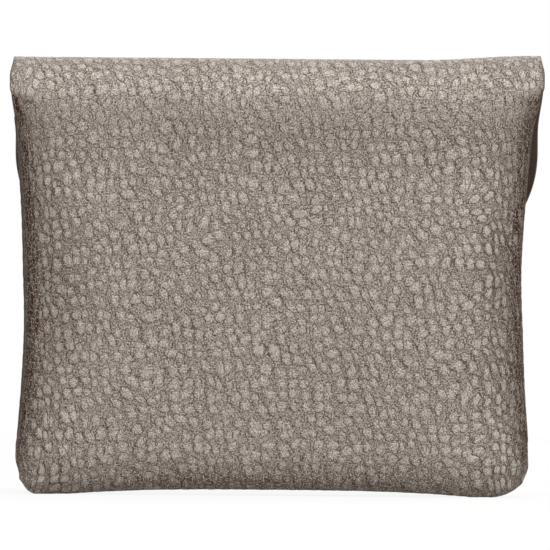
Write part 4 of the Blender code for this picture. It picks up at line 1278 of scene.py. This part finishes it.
def coinEdge():
    # The fold between the walls, sunk inwards along its middle. Path: x, z and the outward direction
    radius = coins["corner"]
    straight = coins["half"] - radius
    low = coins["floor"] + radius
    down, turned, along, wide = coins["fold"]
    side = [(-coins["half"], z, -1, 0) for z in np.linspace(coins["top"], low, down)[:-1]]
    side += [(-straight - radius * math.cos(t), low - radius * math.sin(t), -math.cos(t), -math.sin(t))
             for t in np.linspace(0, quarter, turned)]
    path = side + [(x, coins["floor"], 0, -1) for x in np.linspace(-straight, straight, along)[1:-1]]
    path = np.array(path + [(-x, z, -outX, outZ) for x, z, outX, outZ in reversed(side)])
    half = coins["room"] / 2 - hide["fit"]
    across = np.linspace(-half, half, wide)
    sunk = coins["buckle"] * np.cos(quarter * across / half)
    x = path[:, 0, None] - path[:, 2, None] * sunk + hide["bodyShift"]
    z = path[:, 1, None] - path[:, 3, None] * sunk
    y = coins["middle"] + across[None, :] * np.ones_like(x)
    places = np.stack([x, y, z], axis=2)
    outward = np.zeros_like(places)
    outward[..., 0] = path[:, 2, None]
    outward[..., 2] = path[:, 3, None]
    edge = makeSheet("coinFold", places, outward, 1000 * places, coins["edgeThick"], [pocketSuede])
    carry(edge, "coin_pocket", "coin_edge")


coinWall("coinWallRear", "coin_wall_rear", -1)
coinWall("coinWallFront", "coin_wall_front", 1)
coinEdge()
print("coin pocket made")


# Zip: woven tapes, single teeth clamped on a cord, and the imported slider, pull and stops with softened edges

zipPlan = {
    "height": 0.0685,
    "halfLength": 0.033,
    "tape": 0.0004,
    "tapeHalf": 0.0355,
    "tapeLine": ((0.0009, -0.0011), (0.0009, -0.003), (0.00185, -0.0055), (0.00185, -0.011)),  # out, and up
    "tapeColumns": 90,
    "wave": (0.00004, 900, -0.004),  # ripple of the sewn teeth in the tape: how far, how close, down to where
    # A tooth seen from above, in mm: two jaws round the cord, a neck, and a rounded head past the middle
    "tooth": ((0.5, 1.8), (0.5, 1.0), (0.36, 0.6), (0.36, 0.25), (0.5, -0.05), (0.46, -0.42), (0.26, -0.6)),
    "pitch": 0.0026,
    "toothHalf": 0.0005,
    "thick": 0.0016,
    "bevel": (0.00016, 0.78),  # height of a tooth's bevelled face, and its width there
    "bevelAlong": (0.6, 0.35),  # mm to the tooth's middle, and how much of the bevel its length has
    "cord": (0.00138, 0.00042, 12),  # place, radius and sides
    "sharp": math.radians(38),
    "softEdge": 0.00014,
    "studEdge": 0.00012,
}


def zipTape(name, node, side):
    out, up = roundedLine(np.array(zipPlan["tapeLine"])).T
    x = np.linspace(-zipPlan["tapeHalf"], zipPlan["tapeHalf"], zipPlan["tapeColumns"])[:, None]
    length = np.concatenate([[0], np.cumsum(np.hypot(np.diff(out), np.diff(up)))])
    far, close, low = zipPlan["wave"]
    y = coins["middle"] + side * (out + far * np.sin(x * close) * (up > low))
    tape = makePanel(name, x, y, zipPlan["height"] + up, side, zipPlan["tape"], zipTwill,
                     weave=(1000 * x, 1000 * length))
    carry(tape, "coin_pocket", node)


def zipTeeth(name, node, side):
    outline = [*zipPlan["tooth"], *((-a, b) for a, b in reversed(zipPlan["tooth"]))]
    pitch, height = zipPlan["pitch"], zipPlan["height"]
    count = int((2 * zipPlan["halfLength"] - 2 * zipPlan["toothHalf"]) / pitch - 0.5)
    first = hide["bodyShift"] - count * pitch / 2 - side * pitch / 4
    half = zipPlan["thick"] / 2
    bevel, small = zipPlan["bevel"]
    centre, share = zipPlan["bevelAlong"]
    layers = [(-half, small), (-half + bevel, 1.0), (half - bevel, 1.0), (half, small)]
    points = []
    faces = []
    for number in range(count + 1):
        faces += ringFaces(len(points), len(layers), len(outline))
        for level, scale in layers:
            for a, b in outline:
                x = first + number * pitch + a * scale / 1000
                y = centre + (b - centre) * (1 - (1 - scale) * share)
                points.append((x, coins["middle"] + side * y / 1000, height + level))
    kinds = [0] * len(faces)
    out, radius, sides = zipPlan["cord"]
    faces += ringFaces(len(points), 2, sides)
    kinds += [1] * (len(faces) - len(kinds))
    for x in (-zipPlan["halfLength"], zipPlan["halfLength"]):
        for turn in np.linspace(0, 2 * math.pi, sides, endpoint=False):
            points.append((hide["bodyShift"] + x, coins["middle"] + side * out + radius * math.cos(turn),
                           height + radius * math.sin(turn)))
    piece = meshPiece(name, points, faces, [nickel, zipTwill], kinds, 1000 * np.array(points))
    turnOutward(piece)
    piece.data.set_sharp_from_angle(angle=zipPlan["sharp"])
    carry(piece, "coin_pocket", node)


def softenNode(name, width):
    # A packed metal part keeps its shape and gets rounded edges
    node = nodes[name]
    edge = node.modifiers.new("edge", "BEVEL")
    edge.width = width
    edge.segments = 3
    edge.limit_method = "ANGLE"
    edge.angle_limit = math.radians(40)
    node.data.materials.clear()
    node.data.materials.append(nickel)


zipTape("zipTapeRear", "zip_tape_rear", -1)
zipTape("zipTapeFront", "zip_tape_front", 1)
zipTeeth("zipTeethRear", "zip_chain_rear", -1)
zipTeeth("zipTeethFront", "zip_chain_front", 1)
for metal in ("zip_stop_left", "zip_stop_right", "zip_slider", "zip_pull"):
    softenNode(metal, zipPlan["softEdge"])
print("zip made")


# Press stud: a spun cap outside the flap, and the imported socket, stud and post

cap = {
    "steps": 96,
    "radius": 0.006,
    "low": 0.0138,
    "high": 0.0146,
    "dome": (0.74, 0.00012, 8),  # how much of the radius it takes, how far it falls, and its steps
    "groove": ((0.77, 0.00026), (0.8, 0.00028), (0.83, 0.00016)),
    "rim": (0.0003, 0.00045),  # radius of the rolled rim, and how far its middle is below the top
    "rimTurns": range(90, -31, -15),  # degrees, from the rim's top round to its outer foot
    "merge": 0.000005,
}


def makeCap():
    high, edge = cap["high"], cap["radius"]
    share, fall, steps = cap["dome"]
    profile = [(edge * share * k / steps, high - fall * (k / steps) ** 2) for k in range(steps + 1)]
    profile += [(edge * out, high - down) for out, down in cap["groove"]]
    rim, down = cap["rim"]
    for turn in map(math.radians, cap["rimTurns"]):
        profile.append((edge - rim + rim * math.cos(turn), high - down + rim * math.sin(turn)))
    profile += [(edge - rim, cap["low"]), (0, cap["low"])]
    turns = 2 * math.pi * np.arange(cap["steps"]) / cap["steps"]
    points = [(radius * math.cos(turn), reach, softness["studHeight"] + radius * math.sin(turn))
              for radius, reach in profile for turn in turns]
    piece = meshPiece("snapCap", points, ringFaces(0, len(profile), cap["steps"])[:-2], [nickel])
    turnOutward(piece, cap["merge"])
    carry(piece, "flap", "snap_cap")


makeCap()
for metal in ("snap_post", "snap_stud", "snap_socket"):
    softenNode(metal, zipPlan["studEdge"])
print("press stud made")


# Light, world and floor

studio = {
    "aim": (0, 0, 0.05),
    "keySize": (1.5, 0.9),
    "keyPlace": (0.25, -1.1, 1.65),
    "keyPower": 47.0,
    "fillPlace": (0.3, 1.5, 1.1),
    "fillPower": 20.0,
    "worldLevel": 0.2,
    "floorHalf": 1.5,
    "floorLow": -0.00002,
    "floorWhite": 0.86,
}


def makeLamp(name, place, power):
    data = bpy.data.lights.new(name, "AREA")
    data.shape = "RECTANGLE"
    data.size, data.size_y = studio["keySize"]
    data.energy = power
    lamp = bpy.data.objects.new(name, data)
    lamp.location = place
    x, y, z = np.array(studio["aim"]) - np.array(place)
    lamp.rotation_euler = (math.atan2(math.hypot(x, y), -z), 0, math.atan2(-x, y))
    lamp.visible_camera = False
    scene.collection.objects.link(lamp)


def seenStraight(add):
    # 1 for rays from the camera, and for those that a mirror or glass passes on
    path = add("LightPath", {}, "Is Camera Ray")
    seen = add("Math", (path, path.node.outputs["Is Glossy Ray"]), operation="ADD")
    return add("Math", (seen, path.node.outputs["Is Transmission Ray"]), operation="ADD", use_clamp=True)


def makeWorld():
    world = bpy.data.worlds.new("studio")
    scene.world = world
    world.use_nodes = True
    tree = world.node_tree
    tree.nodes.clear()
    add = partial(addNode, tree)
    level = add("Mix", {0: seenStraight(add), 2: studio["worldLevel"], 3: 1.0})
    light = add("Background", {"Color": "#ffffff", "Strength": level})
    add("OutputWorld", {"Surface": light})


def makeFloor():
    # Seamless backdrop paper, uncoated: matt, with a faint cloudiness
    material, tree, surface, add = newMaterial("matt paper")
    place = add("TexCoord", {}, "Object")
    cloud = add("TexNoise", {"Vector": place, "Scale": 6.0})
    paper = add("Mix", {0: cloud, 6: "#d2d1cf", 7: "#d8d7d5"}, **blended)
    fill(tree, surface, {"Base Color": paper, "Roughness": 0.9})
    seen = add("Math", (seenStraight(add), studio["floorWhite"]), **times)
    white = add("Emission", {"Color": "#ffffff", "Strength": 1.0})
    mixed = add("MixShader", (seen, surface.outputs[0], white))
    tree.links.new(mixed, tree.nodes["Material Output"].inputs["Surface"])
    half, low = studio["floorHalf"], studio["floorLow"]
    corners = [(-half, -half, low), (half, -half, low), (half, half, low), (-half, half, low)]
    floor = meshPiece("floor", corners, [(0, 1, 2, 3)], [material])


makeLamp("key", studio["keyPlace"], studio["keyPower"])
makeLamp("fill", studio["fillPlace"], studio["fillPower"])
makeWorld()
makeFloor()
scene.view_settings.view_transform = "Standard"
print("studio made")
